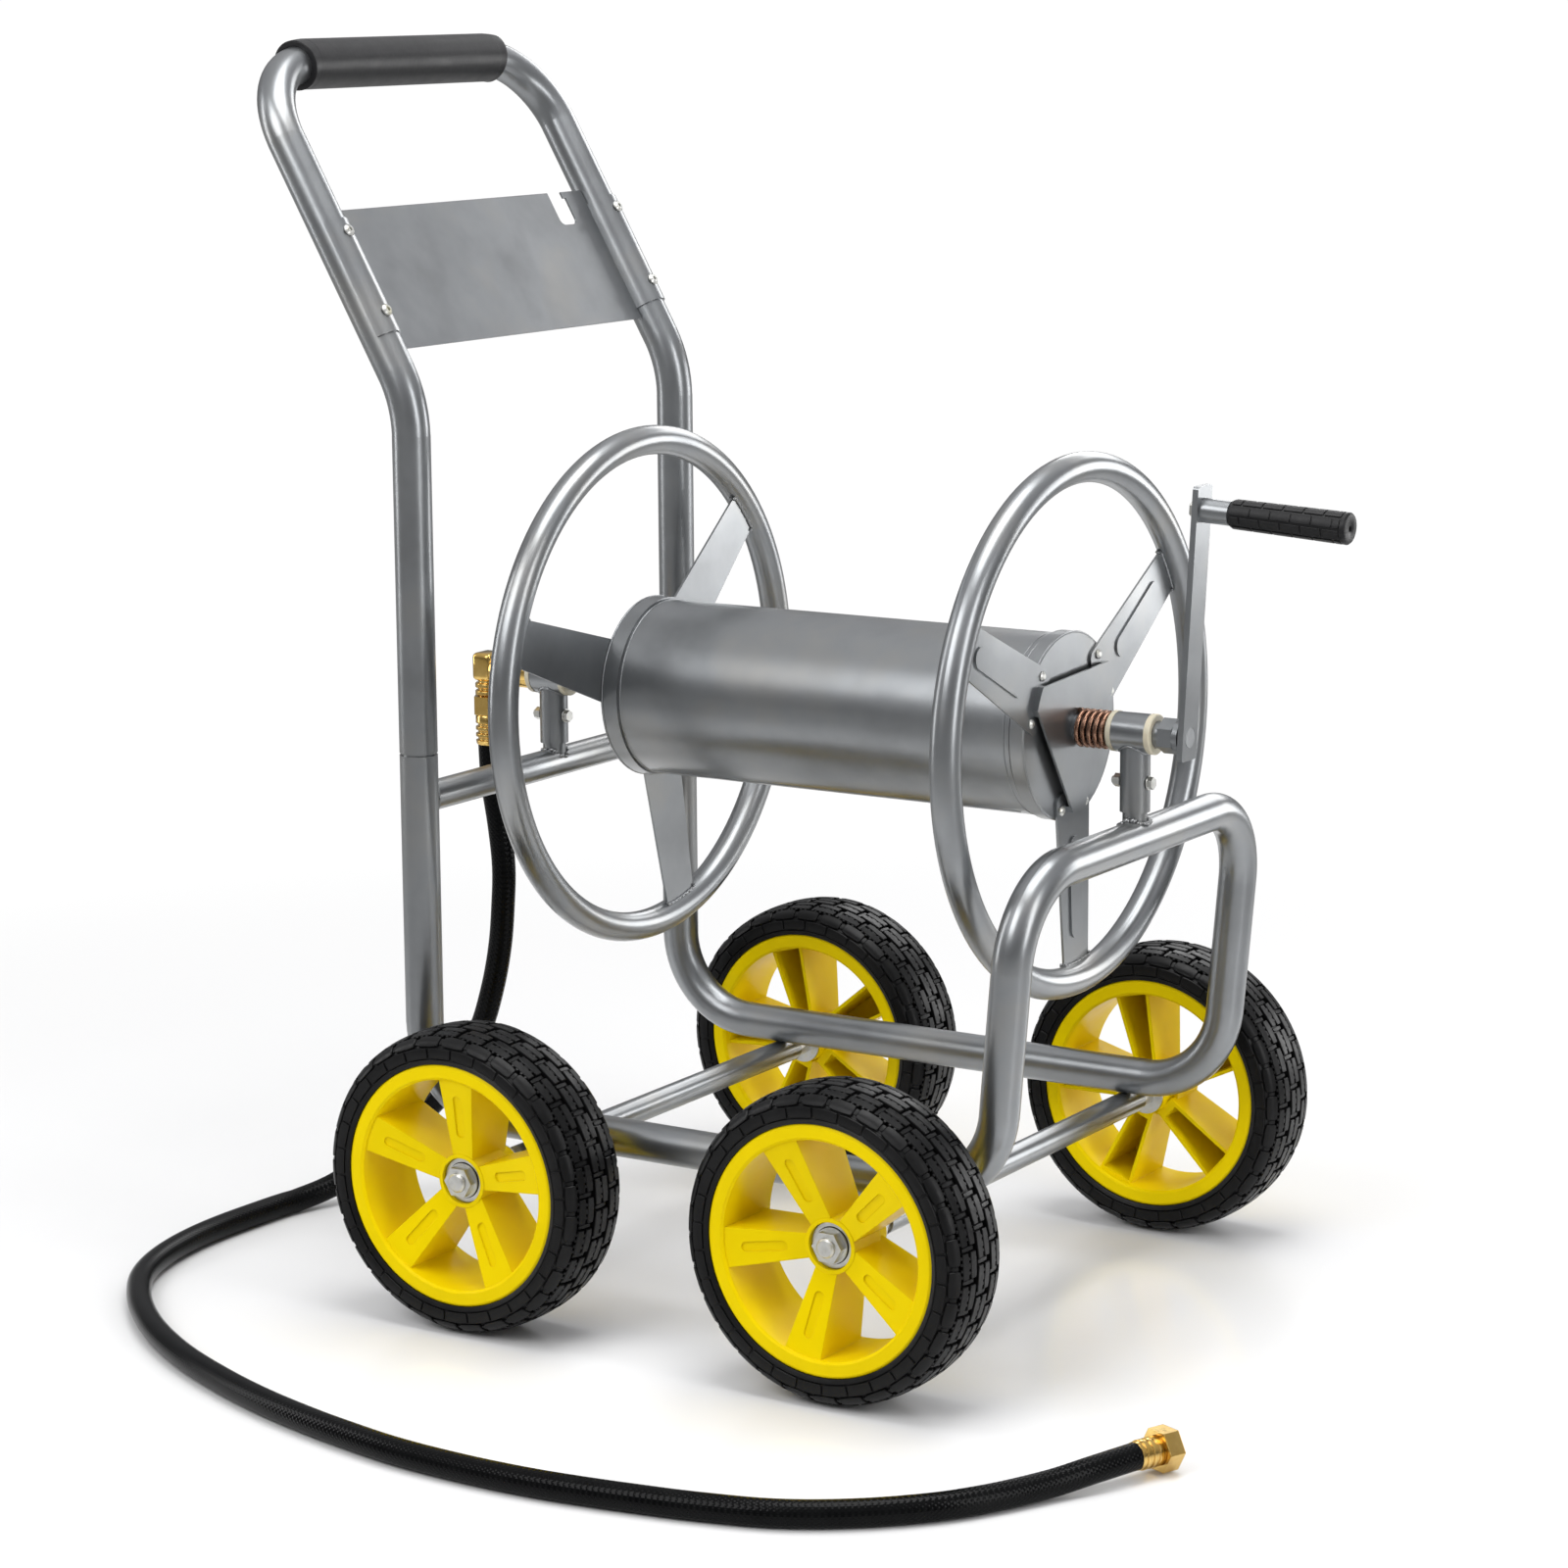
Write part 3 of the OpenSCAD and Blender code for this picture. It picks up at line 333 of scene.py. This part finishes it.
def catmull(points, sub):
    """A smooth curve through points, with sub steps between each two."""
    out = []
    for i in range(len(points) - 1):
        p = [points[max(i - 1, 0)], points[i], points[i + 1], points[min(i + 2, len(points) - 1)]]
        for k in range(sub):
            u = k / sub
            out.append(0.5 * (2 * p[1] + (p[2] - p[0]) * u
                              + (2 * p[0] - 5 * p[1] + 4 * p[2] - p[3]) * u * u
                              + (3 * p[1] - p[0] - 3 * p[2] + p[3]) * u ** 3))
    out.append(points[-1])
    return out


def sweep(bm, path, radius, sides, first=None, last=None, uv=False):
    """A round tube along path; radius may be a list. first and last are end directions.

    With uv, the map holds metres along the tube and metres round it.
    """
    n = len(path)
    radii = radius if isinstance(radius, list) else [radius] * n
    rings, side = [], None
    layer = bm.loops.layers.uv.verify() if uv else None
    dist = [0.0]
    for i in range(1, n):
        dist.append(dist[-1] + (path[i] - path[i - 1]).length)
    for i in range(n):
        t = (path[min(i + 1, n - 1)] - path[max(i - 1, 0)]).normalized()
        if i == 0 and first is not None:
            t = first
        if i == n - 1 and last is not None:
            t = last
        if side is None:
            side = t.orthogonal().normalized()
        side = (side - side.dot(t) * t).normalized()
        other = t.cross(side)
        rings.append([bm.verts.new(path[i] + radii[i] * (math.cos(a) * side + math.sin(a) * other))
                      for a in (2 * math.pi * k / sides for k in range(sides))])
    for i in range(n - 1):
        for k in range(sides):
            m = (k + 1) % sides
            f = bm.faces.new((rings[i][k], rings[i][m], rings[i + 1][m], rings[i + 1][k]))
            if layer:
                around = 2 * math.pi * radii[i]
                corners = [(dist[i], k), (dist[i], k + 1), (dist[i + 1], k + 1), (dist[i + 1], k)]
                for loop, (d, step) in zip(f.loops, corners):
                    loop[layer].uv = (d, around * step / sides)
    bm.faces.new(list(reversed(rings[0])))
    bm.faces.new(rings[-1])


def circle(radius, steps):
    """The points of a closed circle, the first one repeated at the end."""
    turns = (2 * math.pi * i / steps for i in range(steps + 1))
    return [(radius * math.cos(a), radius * math.sin(a)) for a in turns]


# ---------------------------------------------------------------- hose
line = catmull([Vector(p) * MM for p in ROUTE], HOSE_STEPS)
for p in line:
    p.z = max(p.z, HOSE_D / 2 * MM)     # the smooth curve doesn't dip into the floor
end_dir = Vector((math.sin(END_TURN), math.cos(END_TURN), 0))
bm = bmesh.new()
sweep(bm, line, HOSE_D / 2 * MM, HOSE_SIDES, Vector((0, 0, -1)), end_dir, uv=True)
hose = add_mesh("leader_hose", bm, "hose_rubber", "cart", 60)
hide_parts("hose")


# ---------------------------------------------------------------- raised pads on a surface
def pad(bm, put, s0, s1, t0, t1, h0, h1, ns, nt, bev, cut):
    """A raised block with chamfered edges on a curved surface.

    put(s, t, h) places a point of the surface at height h. The block spans s0 to s1 and t0 to t1
    in ns by nt faces, and stands from h0 to h1. bev is its chamfer, and cut rounds its corners.
    """
    def spot(i, j, grow, h):
        s = s0 + bev + (s1 - s0 - 2 * bev) * i / ns
        t = t0 + bev + (t1 - t0 - 2 * bev) * j / nt
        ds, dt = (i == ns) - (i == 0), (j == nt) - (j == 0)
        if ds and dt:
            s, t = s - ds * cut, t - dt * cut
        return bm.verts.new(put(s + ds * grow, t + dt * grow, h))

    top = [[spot(i, j, 0, h1) for j in range(nt + 1)] for i in range(ns + 1)]
    for i in range(ns):
        for j in range(nt):
            bm.faces.new((top[i][j], top[i + 1][j], top[i + 1][j + 1], top[i][j + 1]))
    edge = ([(i, 0) for i in range(ns)] + [(ns, j) for j in range(nt)]
            + [(i, nt) for i in range(ns, 0, -1)] + [(0, j) for j in range(nt, 0, -1)])
    rings = [[top[i][j] for i, j in edge]]
    for h in (h1 - bev, h0):
        rings.append([spot(i, j, bev, h) for i, j in edge])
    n = len(edge)
    for a, b in zip(rings, rings[1:]):
        for k in range(n):
            bm.faces.new((a[k], b[k], b[(k + 1) % n], a[(k + 1) % n]))


# ---------------------------------------------------------------- tyres with a block tread
# Outer envelope of half a tyre from the crown down to the bead: radius, half width
TYRE_OUT = [(TYRE_R, 0.0), (126.9, 8.0), (126.4, 16.0), (125.3, 24.0), (123.7, 29.5),
            (121.7, 33.2), (118.6, 36.2), (114.2, 37.7), (109.0, 38.0), (104.5, 37.4),
            (101.2, 35.9)]
# Radius and side position of the corners that sit on the hub
TYRE_IN = [(101.0, 33.0), (93.0, 29.0), (93.0, -29.0), (101.0, -33.0)]
# Depth of the grooves below the envelope, by distance along it from the crown
GROOVE = [(0.0, 4.4), (28.6, 4.4), (30.8, 3.6), (40.5, 2.6), (42.0, 1.5), (51.5, 1.3),
          (52.6, 0.0), (70.0, 0.0)]
# Distances from the crown at which the carcass has an edge loop
LOOPS = [0, 5, 10, 15, 20, 25, 28.6, 30.8, 33, 35, 37, 39, 40.5, 42, 45, 48, 51.5, 52.6, 55, 57.5]
CARCASS_STEPS, PITCHES = 150, 30
PITCH = 2 * math.pi * TYRE_R / PITCHES
ROW_T, BLOCK_S = 19.6, 11.0      # middle of an outer row of blocks, and half a block's length
CROWN_H, SHOULDER_H = -4.8, -4.6  # roots of the blocks, just under the grooves' floor


def lookup(table, x):
    """The value at x of a table of straight stretches."""
    for (x0, y0), (x1, y1) in zip(table, table[1:]):
        if x <= x1:
            return y0 + (y1 - y0) * (x - x0) / (x1 - x0)
    return table[-1][1]


def tyre_curve():
    """The envelope as a fine line of points, and the distance along it of each."""
    pts = catmull([Vector((r, w, 0)) for r, w in TYRE_OUT], 8)
    along = [0.0]
    for a, b in zip(pts, pts[1:]):
        along.append(along[-1] + (b - a).length)
    return pts, along


CURVE, ALONG = tyre_curve()


def tyre_put(s, t, h):
    """s runs round the tyre and t across it from the crown, both in mm; h is the height."""
    x = min(abs(t), ALONG[-1] - 0.01)
    k = max(i for i, a in enumerate(ALONG) if a <= x)
    k = min(k, len(CURVE) - 2)
    step = CURVE[k + 1] - CURVE[k]
    p = CURVE[k] + step * ((x - ALONG[k]) / (ALONG[k + 1] - ALONG[k]))
    across = step.normalized()
    r, w = p.x + across.y * h, p.y - across.x * h
    a = s / TYRE_R
    return Vector((r * math.cos(a), r * math.sin(a), math.copysign(w, t))) * MM


def carcass(bm):
    """The tyre without its blocks, down to the floor of the grooves."""
    side = [(t, -lookup(GROOVE, t)) for t in LOOPS + [ALONG[-1]]]
    full = [(-t, h) for t, h in reversed(side[1:])] + side
    rings = []
    for i in range(CARCASS_STEPS):
        s = 2 * math.pi * TYRE_R * i / CARCASS_STEPS
        ring = [bm.verts.new(tyre_put(s, t, h)) for t, h in full]
        a = s / TYRE_R
        for r, w in TYRE_IN:
            ring.append(bm.verts.new(Vector((r * math.cos(a), r * math.sin(a), w)) * MM))
        rings.append(ring)
    n = len(rings[0])
    for p, q in zip(rings, rings[1:] + rings[:1]):
        for k in range(n):
            bm.faces.new((p[k], q[k], q[(k + 1) % n], p[(k + 1) % n]))


def crown_blocks(bm, s, mid):
    """One block, its middle at s and mid: two strips, the bridges between them, and a link."""
    for e in (-1, 1):
        t0, t1 = sorted((mid + e * 1.0, mid + e * 8.4))
        pad(bm, tyre_put, s - BLOCK_S, s + BLOCK_S, t0, t1, CROWN_H, 0, 4, 1, 0.5, 0.5)
    for d, wide in ((-5.6, 1.2), (0.0, 2.4), (5.6, 1.2)):
        pad(bm, tyre_put, s + d - wide, s + d + wide, mid - 1.2, mid + 1.2, CROWN_H, -0.5,
            1, 1, 0.2, 0.1)
    pad(bm, tyre_put, s + 11.4, s + PITCH - 11.4, mid - 7.2, mid + 7.2, CROWN_H, -1.9,
        1, 2, 0.3, 0.4)


def shoulder_blocks(bm, s, e):
    """One pitch of the shoulder on side e: a large block, four teeth, a rib and a side panel."""
    t0, t1 = sorted((e * 29.2, e * 41.0))
    pad(bm, tyre_put, s - 11.2, s + 11.2, t0, t1, SHOULDER_H, -0.5, 4, 5, 0.6, 0.7)
    s += PITCH / 2
    t0, t1 = sorted((e * 27.2, e * 30.4))
    for d in (-7.6, -2.6, 2.6, 7.6):
        pad(bm, tyre_put, s + d - 1.7, s + d + 1.7, t0, t1, SHOULDER_H, -0.3, 1, 1, 0.35, 0.5)
    t0, t1 = sorted((e * 30.8, e * 38.5))
    pad(bm, tyre_put, s - 1.9, s + 1.9, t0, t1, SHOULDER_H, -1.7, 1, 4, 0.3, 0.3)
    t0, t1 = sorted((e * 42.4, e * 51.2))
    pad(bm, tyre_put, s - 12.3, s + 12.3, t0, t1, -1.8, 0.0, 5, 3, 0.4, 0.4)


def tyre_mesh():
    """One tyre about the Z axis, which the four wheels share."""
    bm = bmesh.new()
    carcass(bm)
    for i in range(PITCHES):
        for row in (-1, 0, 1):
            crown_blocks(bm, (i + (0.5 if row else 0.0)) * PITCH, row * ROW_T)
        for e in (-1, 1):
            shoulder_blocks(bm, i * PITCH, e)
    bmesh.ops.recalc_face_normals(bm, faces=bm.faces)
    me = bpy.data.meshes.new("tyre_tread")
    bm.normal_update()
    bm.to_mesh(me)
    bm.free()
    return me


tread_mesh = tyre_mesh()
# Axle position, side, and how far the tread is turned, in degrees
WHEELS = {
    "near_rear": (REAR_X, -1, 3), "near_front": (FRONT_X, -1, 8),
    "far_rear": (REAR_X, 1, 5), "far_front": (FRONT_X, 1, 1),
}
for key, (x, side, phase) in WHEELS.items():
    me = tread_mesh.copy()
    upright_turn = Matrix.Rotation(math.pi / 2, 4, "X")
    tread_turn = Matrix.Rotation(math.radians(phase), 4, "Z")
    me.transform(Matrix.Translation(Vector((x, side * WHEEL_Y, TYRE_R)) * MM)
                 @ upright_turn @ tread_turn)
    tyre = add_object(key + "_tread_tyre", me, "tyre_rubber", key + "_wheel", 32)
    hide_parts(key + "_tyre")

# ---------------------------------------------------------------- drag spring
WIRE_R, TURNS, TURN_STEPS = 2.15, 5, 36
COIL_R = 16.0 - WIRE_R
bm = bmesh.new()
box0, box1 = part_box("drag_spring")
x0, x1 = box0[0] / MM + WIRE_R, box1[0] / MM - WIRE_R
helix = []
for i in range(TURNS * TURN_STEPS + 1):
    a = 2 * math.pi * i / TURN_STEPS
    helix.append(Vector((x0 + (x1 - x0) * i / (TURNS * TURN_STEPS),
                         COIL_R * math.sin(a), REEL_Z + COIL_R * math.cos(a))) * MM)
sweep(bm, helix, WIRE_R * MM, 14)
spring = add_mesh("drag_coil", bm, "copper_wire", "reel", 60)
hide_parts("drag_spring")


# ---------------------------------------------------------------- crank grip with shallow pads
# The crank arm's frame: its hub on the reel's axis, and the small lean of the arm
CRANK = Matrix.Translation(Vector((324.8, 0, REEL_Z))) @ Matrix.Rotation(math.radians(3.2), 4, "Y")
GRIP_X, GRIP_L, GRIP_R0, GRIP_R1, PIN_Z = 26.7, 101.5, 11.8, 12.8, 183.0
GRIP_MEAN_R = (GRIP_R0 + GRIP_R1) / 2
BORE_R, SKIN = 5.2, 0.9            # the pads stand this far above the grip's skin
PAD_ROWS, PADS_ALONG, PAD_PITCH, PAD_L = 8, 6, 17.6, 16.5


def lathe(bm, profile, put, sides=56):
    """Turn a closed profile of radius and distance pairs; put(r, angle, x) places a point."""
    rings = [[bm.verts.new(put(r, 2 * math.pi * k / sides, x)) for k in range(sides)]
             for r, x in profile]
    for a, b in zip(rings, rings[1:] + rings[:1]):
        for k in range(sides):
            bm.faces.new((a[k], b[k], b[(k + 1) % sides], a[(k + 1) % sides]))


def on_pin(r, a, x):
    """A point about the crank pin, at distance x along the grip."""
    return (CRANK @ Vector((GRIP_X + x, r * math.sin(a), PIN_Z + r * math.cos(a)))) * MM


def grip_put(s, t, h):
    """A point of the tapered grip's surface, for pad."""
    r = GRIP_R0 + (GRIP_R1 - GRIP_R0) * s / GRIP_L
    return on_pin(r + h, t / GRIP_MEAN_R, s)


bm = bmesh.new()
lathe(bm, [(BORE_R, 0), (GRIP_R0 - 2.2, 0), (GRIP_R0 - SKIN, 1.6), (GRIP_R0 - SKIN, 3.0),
           (GRIP_R1 - SKIN, GRIP_L - 5), (GRIP_R1 - 0.2, GRIP_L - 4.4),
           (GRIP_R1 - 0.1, GRIP_L - 1.6), (GRIP_R1 - 1.3, GRIP_L - 0.2), (GRIP_R1 - 2.4, GRIP_L),
           (3.4, GRIP_L), (2.2, GRIP_L - 0.8), (1.8, GRIP_L - 6), (BORE_R, GRIP_L - 6)], on_pin)
pad_width = 2 * math.pi * GRIP_MEAN_R / PAD_ROWS
for row in range(PAD_ROWS):
    for k in range(PADS_ALONG):
        s0 = 3.0 + PAD_PITCH * (k - (0.5 if row % 2 else 0.0))
        s1 = min(s0 + PAD_L, GRIP_L - 5.2)
        s0 = max(s0, 3.0)
        if s1 - s0 > 4:
            pad(bm, grip_put, s0, s1, row * pad_width + 0.5, (row + 1) * pad_width - 0.5,
                -1.6, 0, 1, 5, 0.3, 0.4)
bmesh.ops.recalc_face_normals(bm, faces=bm.faces)
grip = add_mesh("padded_grip", bm, "grip_rubber", "grip", 38)
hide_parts("crank_grip")

# ---------------------------------------------------------------- brass inlet
INLET_X = ROUTE[0][0]


def upright(r, a, z):
    """A point about the inlet's upright leg."""
    return Vector((INLET_X + r * math.cos(a), r * math.sin(a), z)) * MM


def lying(r, a, x):
    """A point about the reel's axis."""
    return Vector((x, r * math.sin(a), REEL_Z + r * math.cos(a))) * MM


# A cast block with its corners rounded, the collar on the water tube, and the ringed leg
BLOCK_MID, BLOCK_SIZE, BLOCK_ROUND = Vector((-361, 0, 497.5)), Vector((20, 24, 25)), 4.5
bm = bmesh.new()
bmesh.ops.create_cube(bm, size=1, matrix=Matrix.Translation(BLOCK_MID * MM)
                      @ Matrix.Diagonal((*BLOCK_SIZE * MM, 1)))
bmesh.ops.bevel(bm, geom=bm.edges[:] + bm.verts[:], offset=BLOCK_ROUND * MM, segments=4,
                affect="EDGES", profile=0.5)
lathe(bm, [(11.2, -352), (12.6, -352), (13.5, -350.5), (13.5, -313), (12.6, -311.5),
           (11.2, -311.5)], lying)
lathe(bm, [(5, 428.5), (6.5, 428.5), (6.5, 455), (9.5, 455), (9.5, 471.5), (11.2, 472),
           (12, 472.8), (12, 475.6), (11.2, 476.4), (9.6, 476.8), (9.6, 478), (11.2, 478.5),
           (12, 479.3), (12, 482.2), (11.2, 483), (9.5, 483.4), (9.5, 488), (5, 488)], upright)
bmesh.ops.recalc_face_normals(bm, faces=bm.faces)
inlet = add_mesh("cast_inlet", bm, "brass", "cart", 40)
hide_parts("inlet_elbow")

FERRULE_R, GROOVE_R = 12.2, 10.2
bm = bmesh.new()
profile = [(6.6, 428), (11.0, 428), (11.8, 429)]
for z in (433.5, 439.5, 445.5):
    profile += [(FERRULE_R, z - 1.8), (GROOVE_R, z - 0.9),
                (GROOVE_R, z + 0.9), (FERRULE_R, z + 1.8)]
lathe(bm, profile + [(FERRULE_R, 453.5), (11.2, 454.9), (6.6, 454.9)], upright)
bmesh.ops.recalc_face_normals(bm, faces=bm.faces)
ferrule = add_mesh("notched_ferrule", bm, "brass", "cart", 40)
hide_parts("inlet_ferrule")

# ---------------------------------------------------------------- dark rings on the lock nuts: one round each tip, and one of painted shadow under each nut's flange
# Radius, distance from the wheel's middle, and thickness
TIP_RING_AND_PAINTED_SHADOW = [(6.3, 24.1, 0.75), (14.6, 15.1, 0.6)]
bm = bmesh.new()
for x in (REAR_X, FRONT_X):
    for side in (-1, 1):
        for r, out, thick in TIP_RING_AND_PAINTED_SHADOW:
            ring = [Vector((x + u, side * (WHEEL_Y + out), TYRE_R + v)) * MM
                    for u, v in circle(r, 40)]
            sweep(bm, ring, thick * MM, 8)
# The ring of radius 14.6, at 15.1 out, is painted shadow of the nut's flange on its washer
add_mesh("nut_tip_rings_and_painted_shadow", bm, "grip_rubber", "cart", 80)

# ---------------------------------------------------------------- weld beads and seams
FOOT_R, FOOT_BLOBS, LOOP_Z = 11.3, 15, 408.2
BEARING_R, STUB_R = math.sqrt(257), 12.8
ARM_HALF, ARM_STEP = 20.2, 3.4
lumps = random.Random(7)


def weld(name, body, paths, size):
    """Lumpy beads along paths given in millimetres."""
    bm = bmesh.new()
    for path in paths:
        pts = catmull([Vector(p) * MM for p in path], 3)
        beat = lumps.uniform(0, 3)
        radii = [size * MM * (0.72 + 0.38 * abs(math.sin(0.62 * i + beat))
                              + lumps.uniform(-0.1, 0.1)) for i in range(len(pts))]
        sweep(bm, pts, radii, 10)
    add_mesh(name, bm, "silver_paint", body, 80)


def arm_end(x, r, angle):
    """A bead across the outer end of one arm, with short returns along its two sides."""
    a = math.radians(angle)
    out = []
    for i in range(-7, 8):
        w = max(-ARM_HALF, min(ARM_HALF, i * ARM_STEP))
        u = math.sqrt(r * r - w * w) - (abs(i) - 6) * 3 * (abs(i) > 6)
        out.append((x, u * math.cos(a) - w * math.sin(a),
                    REEL_Z + u * math.sin(a) + w * math.cos(a)))
    return out


def foot_weld(name, x0, top, size):
    """Overlapping blobs round the foot of a stub; top(x) is the height of the tube under it."""
    bm = bmesh.new()
    for i in range(FOOT_BLOBS):
        a = 2 * math.pi * (i + lumps.uniform(-0.25, 0.25)) / FOOT_BLOBS
        x, y = x0 + FOOT_R * math.cos(a), FOOT_R * math.sin(a)
        blob = Matrix.Translation(Vector((x, y, top(x) + lumps.uniform(-0.4, 0.9))) * MM)
        flat = Matrix.Diagonal((1, 1, lumps.uniform(0.6, 0.85), 1))
        bmesh.ops.create_icosphere(bm, subdivisions=3, radius=size * lumps.uniform(0.75, 1.1) * MM,
                                   matrix=blob @ flat)
    add_mesh(name, bm, "silver_paint", "cart", 80)


def under_bearing(x0):
    """A bead where a stub meets the round bearing above it."""
    return [(x0 + u, v, REEL_Z - math.sqrt(BEARING_R ** 2 - v * v)) for u, v in circle(STUB_R, 16)]


def bar_end(side):
    """A bead where the cross bar meets a rear post."""
    return [(POST_X + u, side * (SIDE_Y - math.sqrt(TUBE_R ** 2 - u ** 2)), BAR_Z + v)
            for u, v in circle(BAR_R, 16)]


# Side of an arm that a bead runs along: its position, radius, and the first arm's angle
ARM_SIDES = [(220.9, 197.4, 33), (218.0, 198.6, 33), (-190.5, 197.6, 42), (-187.6, 198.4, 42)]
weld("arm_welds", "reel", [arm_end(x, r, first + 120 * k)
                           for x, r, first in ARM_SIDES for k in range(3)], 1.5)
foot_weld("front_foot_weld", STUB_X,
          lambda x: LOOP_Z + math.sqrt(TUBE_R ** 2 - (x - LOOP_X) ** 2), 3.2)
foot_weld("rear_foot_weld", POST_X,
          lambda x: BAR_Z + 0.2 + math.sqrt(max(161 - (x - POST_X) ** 2, 30)), 2.4)
weld("bearing_welds", "cart", [under_bearing(x) for x in (STUB_X, POST_X)], 1.2)
weld("cross_bar_welds", "cart", [bar_end(side) for side in (-1, 1)], 1.3)

# Seams round the drum: position, radius, thickness
HOOPS = [(-173.5, 74.5, 0.7), (-170.2, 74.3, 0.8), (203.8, 74.5, 0.8), (199.0, 74.2, 0.7),
         (-187.2, 76.2, 0.9), (217.4, 76.6, 0.9)]
SEAM_R, SEAM_AT = 74.2, math.radians(247)      # the seam along the drum
bm = bmesh.new()
for x, r, thick in HOOPS:
    sweep(bm, [Vector((x, u, REEL_Z + v)) * MM for u, v in circle(r, 72)], thick * MM, 8)
seam = [Vector((x, SEAM_R * math.cos(SEAM_AT), REEL_Z + SEAM_R * math.sin(SEAM_AT))) * MM
        for x in range(-170, 205, 15)]
sweep(bm, seam, 0.8 * MM, 8)
add_mesh("drum_seams", bm, "silver_paint", "reel", 80)


# ---------------------------------------------------------------- floor and light
FLOOR_HALF, FADE_FROM, FADE_TO = 40, 0.7, 1.9
WHITE, DIM_GLOW = 1.02, 0.42       # what the camera sees of the sweep, and what reflections see


def stage_floor():
    """A wide white sweep that is a little glossy near the cart."""
    me = bpy.data.meshes.new("floor")
    corners = [(-1, -1), (1, -1), (1, 1), (-1, 1)]
    me.from_pydata([(x * FLOOR_HALF, y * FLOOR_HALF, 0) for x, y in corners], [], [(0, 1, 2, 3)])
    ob = bpy.data.objects.new("floor", me)
    scene.collection.objects.link(ob)
    m, t, b = material("floor")
    b.inputs["Base Color"].default_value = (0.80, 0.80, 0.80, 1)
    b.inputs["Roughness"].default_value = 0.16
    b.inputs["Specular IOR Level"].default_value = 0.22
    # The floor turns into an even white away from the cart, so that no horizon shows
    coord = t.nodes.new("ShaderNodeTexCoord")
    away = node(t, "ShaderNodeVectorMath", operation="LENGTH")
    t.links.new(coord.outputs["Object"], away.inputs[0])
    fade = spread(t, away.outputs["Value"], 0.0, 1.0, FADE_FROM, FADE_TO)
    glow = t.nodes.new("ShaderNodeEmission")
    path = t.nodes.new("ShaderNodeLightPath")
    strength = spread(t, path.outputs["Is Camera Ray"], DIM_GLOW, WHITE, 0.0, 1.0)
    t.links.new(strength, glow.inputs["Strength"])
    mixed = t.nodes.new("ShaderNodeMixShader")
    t.links.new(fade, mixed.inputs["Fac"])
    t.links.new(b.outputs["BSDF"], mixed.inputs[1])
    t.links.new(glow.outputs["Emission"], mixed.inputs[2])
    t.links.new(mixed.outputs["Shader"], t.nodes["Material Output"].inputs["Surface"])
    me.materials.append(m)
    return ob


stage_floor()

# A soft gradient lights the cart, and the camera sees plain white behind it
world = bpy.data.worlds.new("studio")
scene.world = world
world.use_nodes = True
wt = world.node_tree
sky = wt.nodes["Background"]
coord = wt.nodes.new("ShaderNodeTexCoord")
axes = wt.nodes.new("ShaderNodeSeparateXYZ")
wt.links.new(coord.outputs["Generated"], axes.inputs["Vector"])
shade = ramp(wt, axes.outputs["Z"], [(0.0, (0.20, 0.20, 0.20)), (0.16, (0.25, 0.25, 0.255)),
                                     (0.5, (0.58, 0.58, 0.60)), (1.0, (0.95, 0.95, 0.95))])
wt.links.new(shade, sky.inputs["Color"])
sky.inputs["Strength"].default_value = 0.85
white = node(wt, "ShaderNodeBackground", Strength=WHITE)
white.inputs["Color"].default_value = (1, 1, 1, 1)
seen = wt.nodes.new("ShaderNodeLightPath")
both = wt.nodes.new("ShaderNodeMixShader")
wt.links.new(seen.outputs["Is Camera Ray"], both.inputs["Fac"])
wt.links.new(sky.outputs["Background"], both.inputs[1])
wt.links.new(white.outputs["Background"], both.inputs[2])
wt.links.new(both.outputs["Shader"], wt.nodes["World Output"].inputs["Surface"])


def area(name, at, look, wide, power, tall):
    """A rectangular lamp at one point, aimed at another; metres and watts."""
    data = bpy.data.lights.new(name, "AREA")
    data.energy = power
    data.shape = "RECTANGLE"
    data.size = wide
    data.size_y = tall
    ob = bpy.data.objects.new(name, data)
    scene.collection.objects.link(ob)
    ob.location = at
    ob.rotation_euler = (Vector(look) - Vector(at)).to_track_quat("-Z", "Y").to_euler()


# Name, place, aim, width, watts, height
area("key", (-0.7, -3.0, 2.9), (0, 0, 0.45), 2.2, 62, 2.0)
area("strip", (-3.1, -1.2, 1.3), (0, 0, 0.5), 0.7, 22, 2.4)
area("low", (1.7, 2.8, 0.75), (0, 0, 0.5), 1.3, 26, 1.3)
area("side", (3.2, -0.6, 1.4), (0, 0, 0.5), 0.9, 34, 2.4)
area("top", (0.3, 0.0, 3.2), (0, 0, 0.3), 2.4, 62, 1.6)
area("back", (-0.4, 3.2, 2.0), (0, 0, 0.5), 2.2, 26, 1.0)
scene.view_settings.view_transform = "Standard"
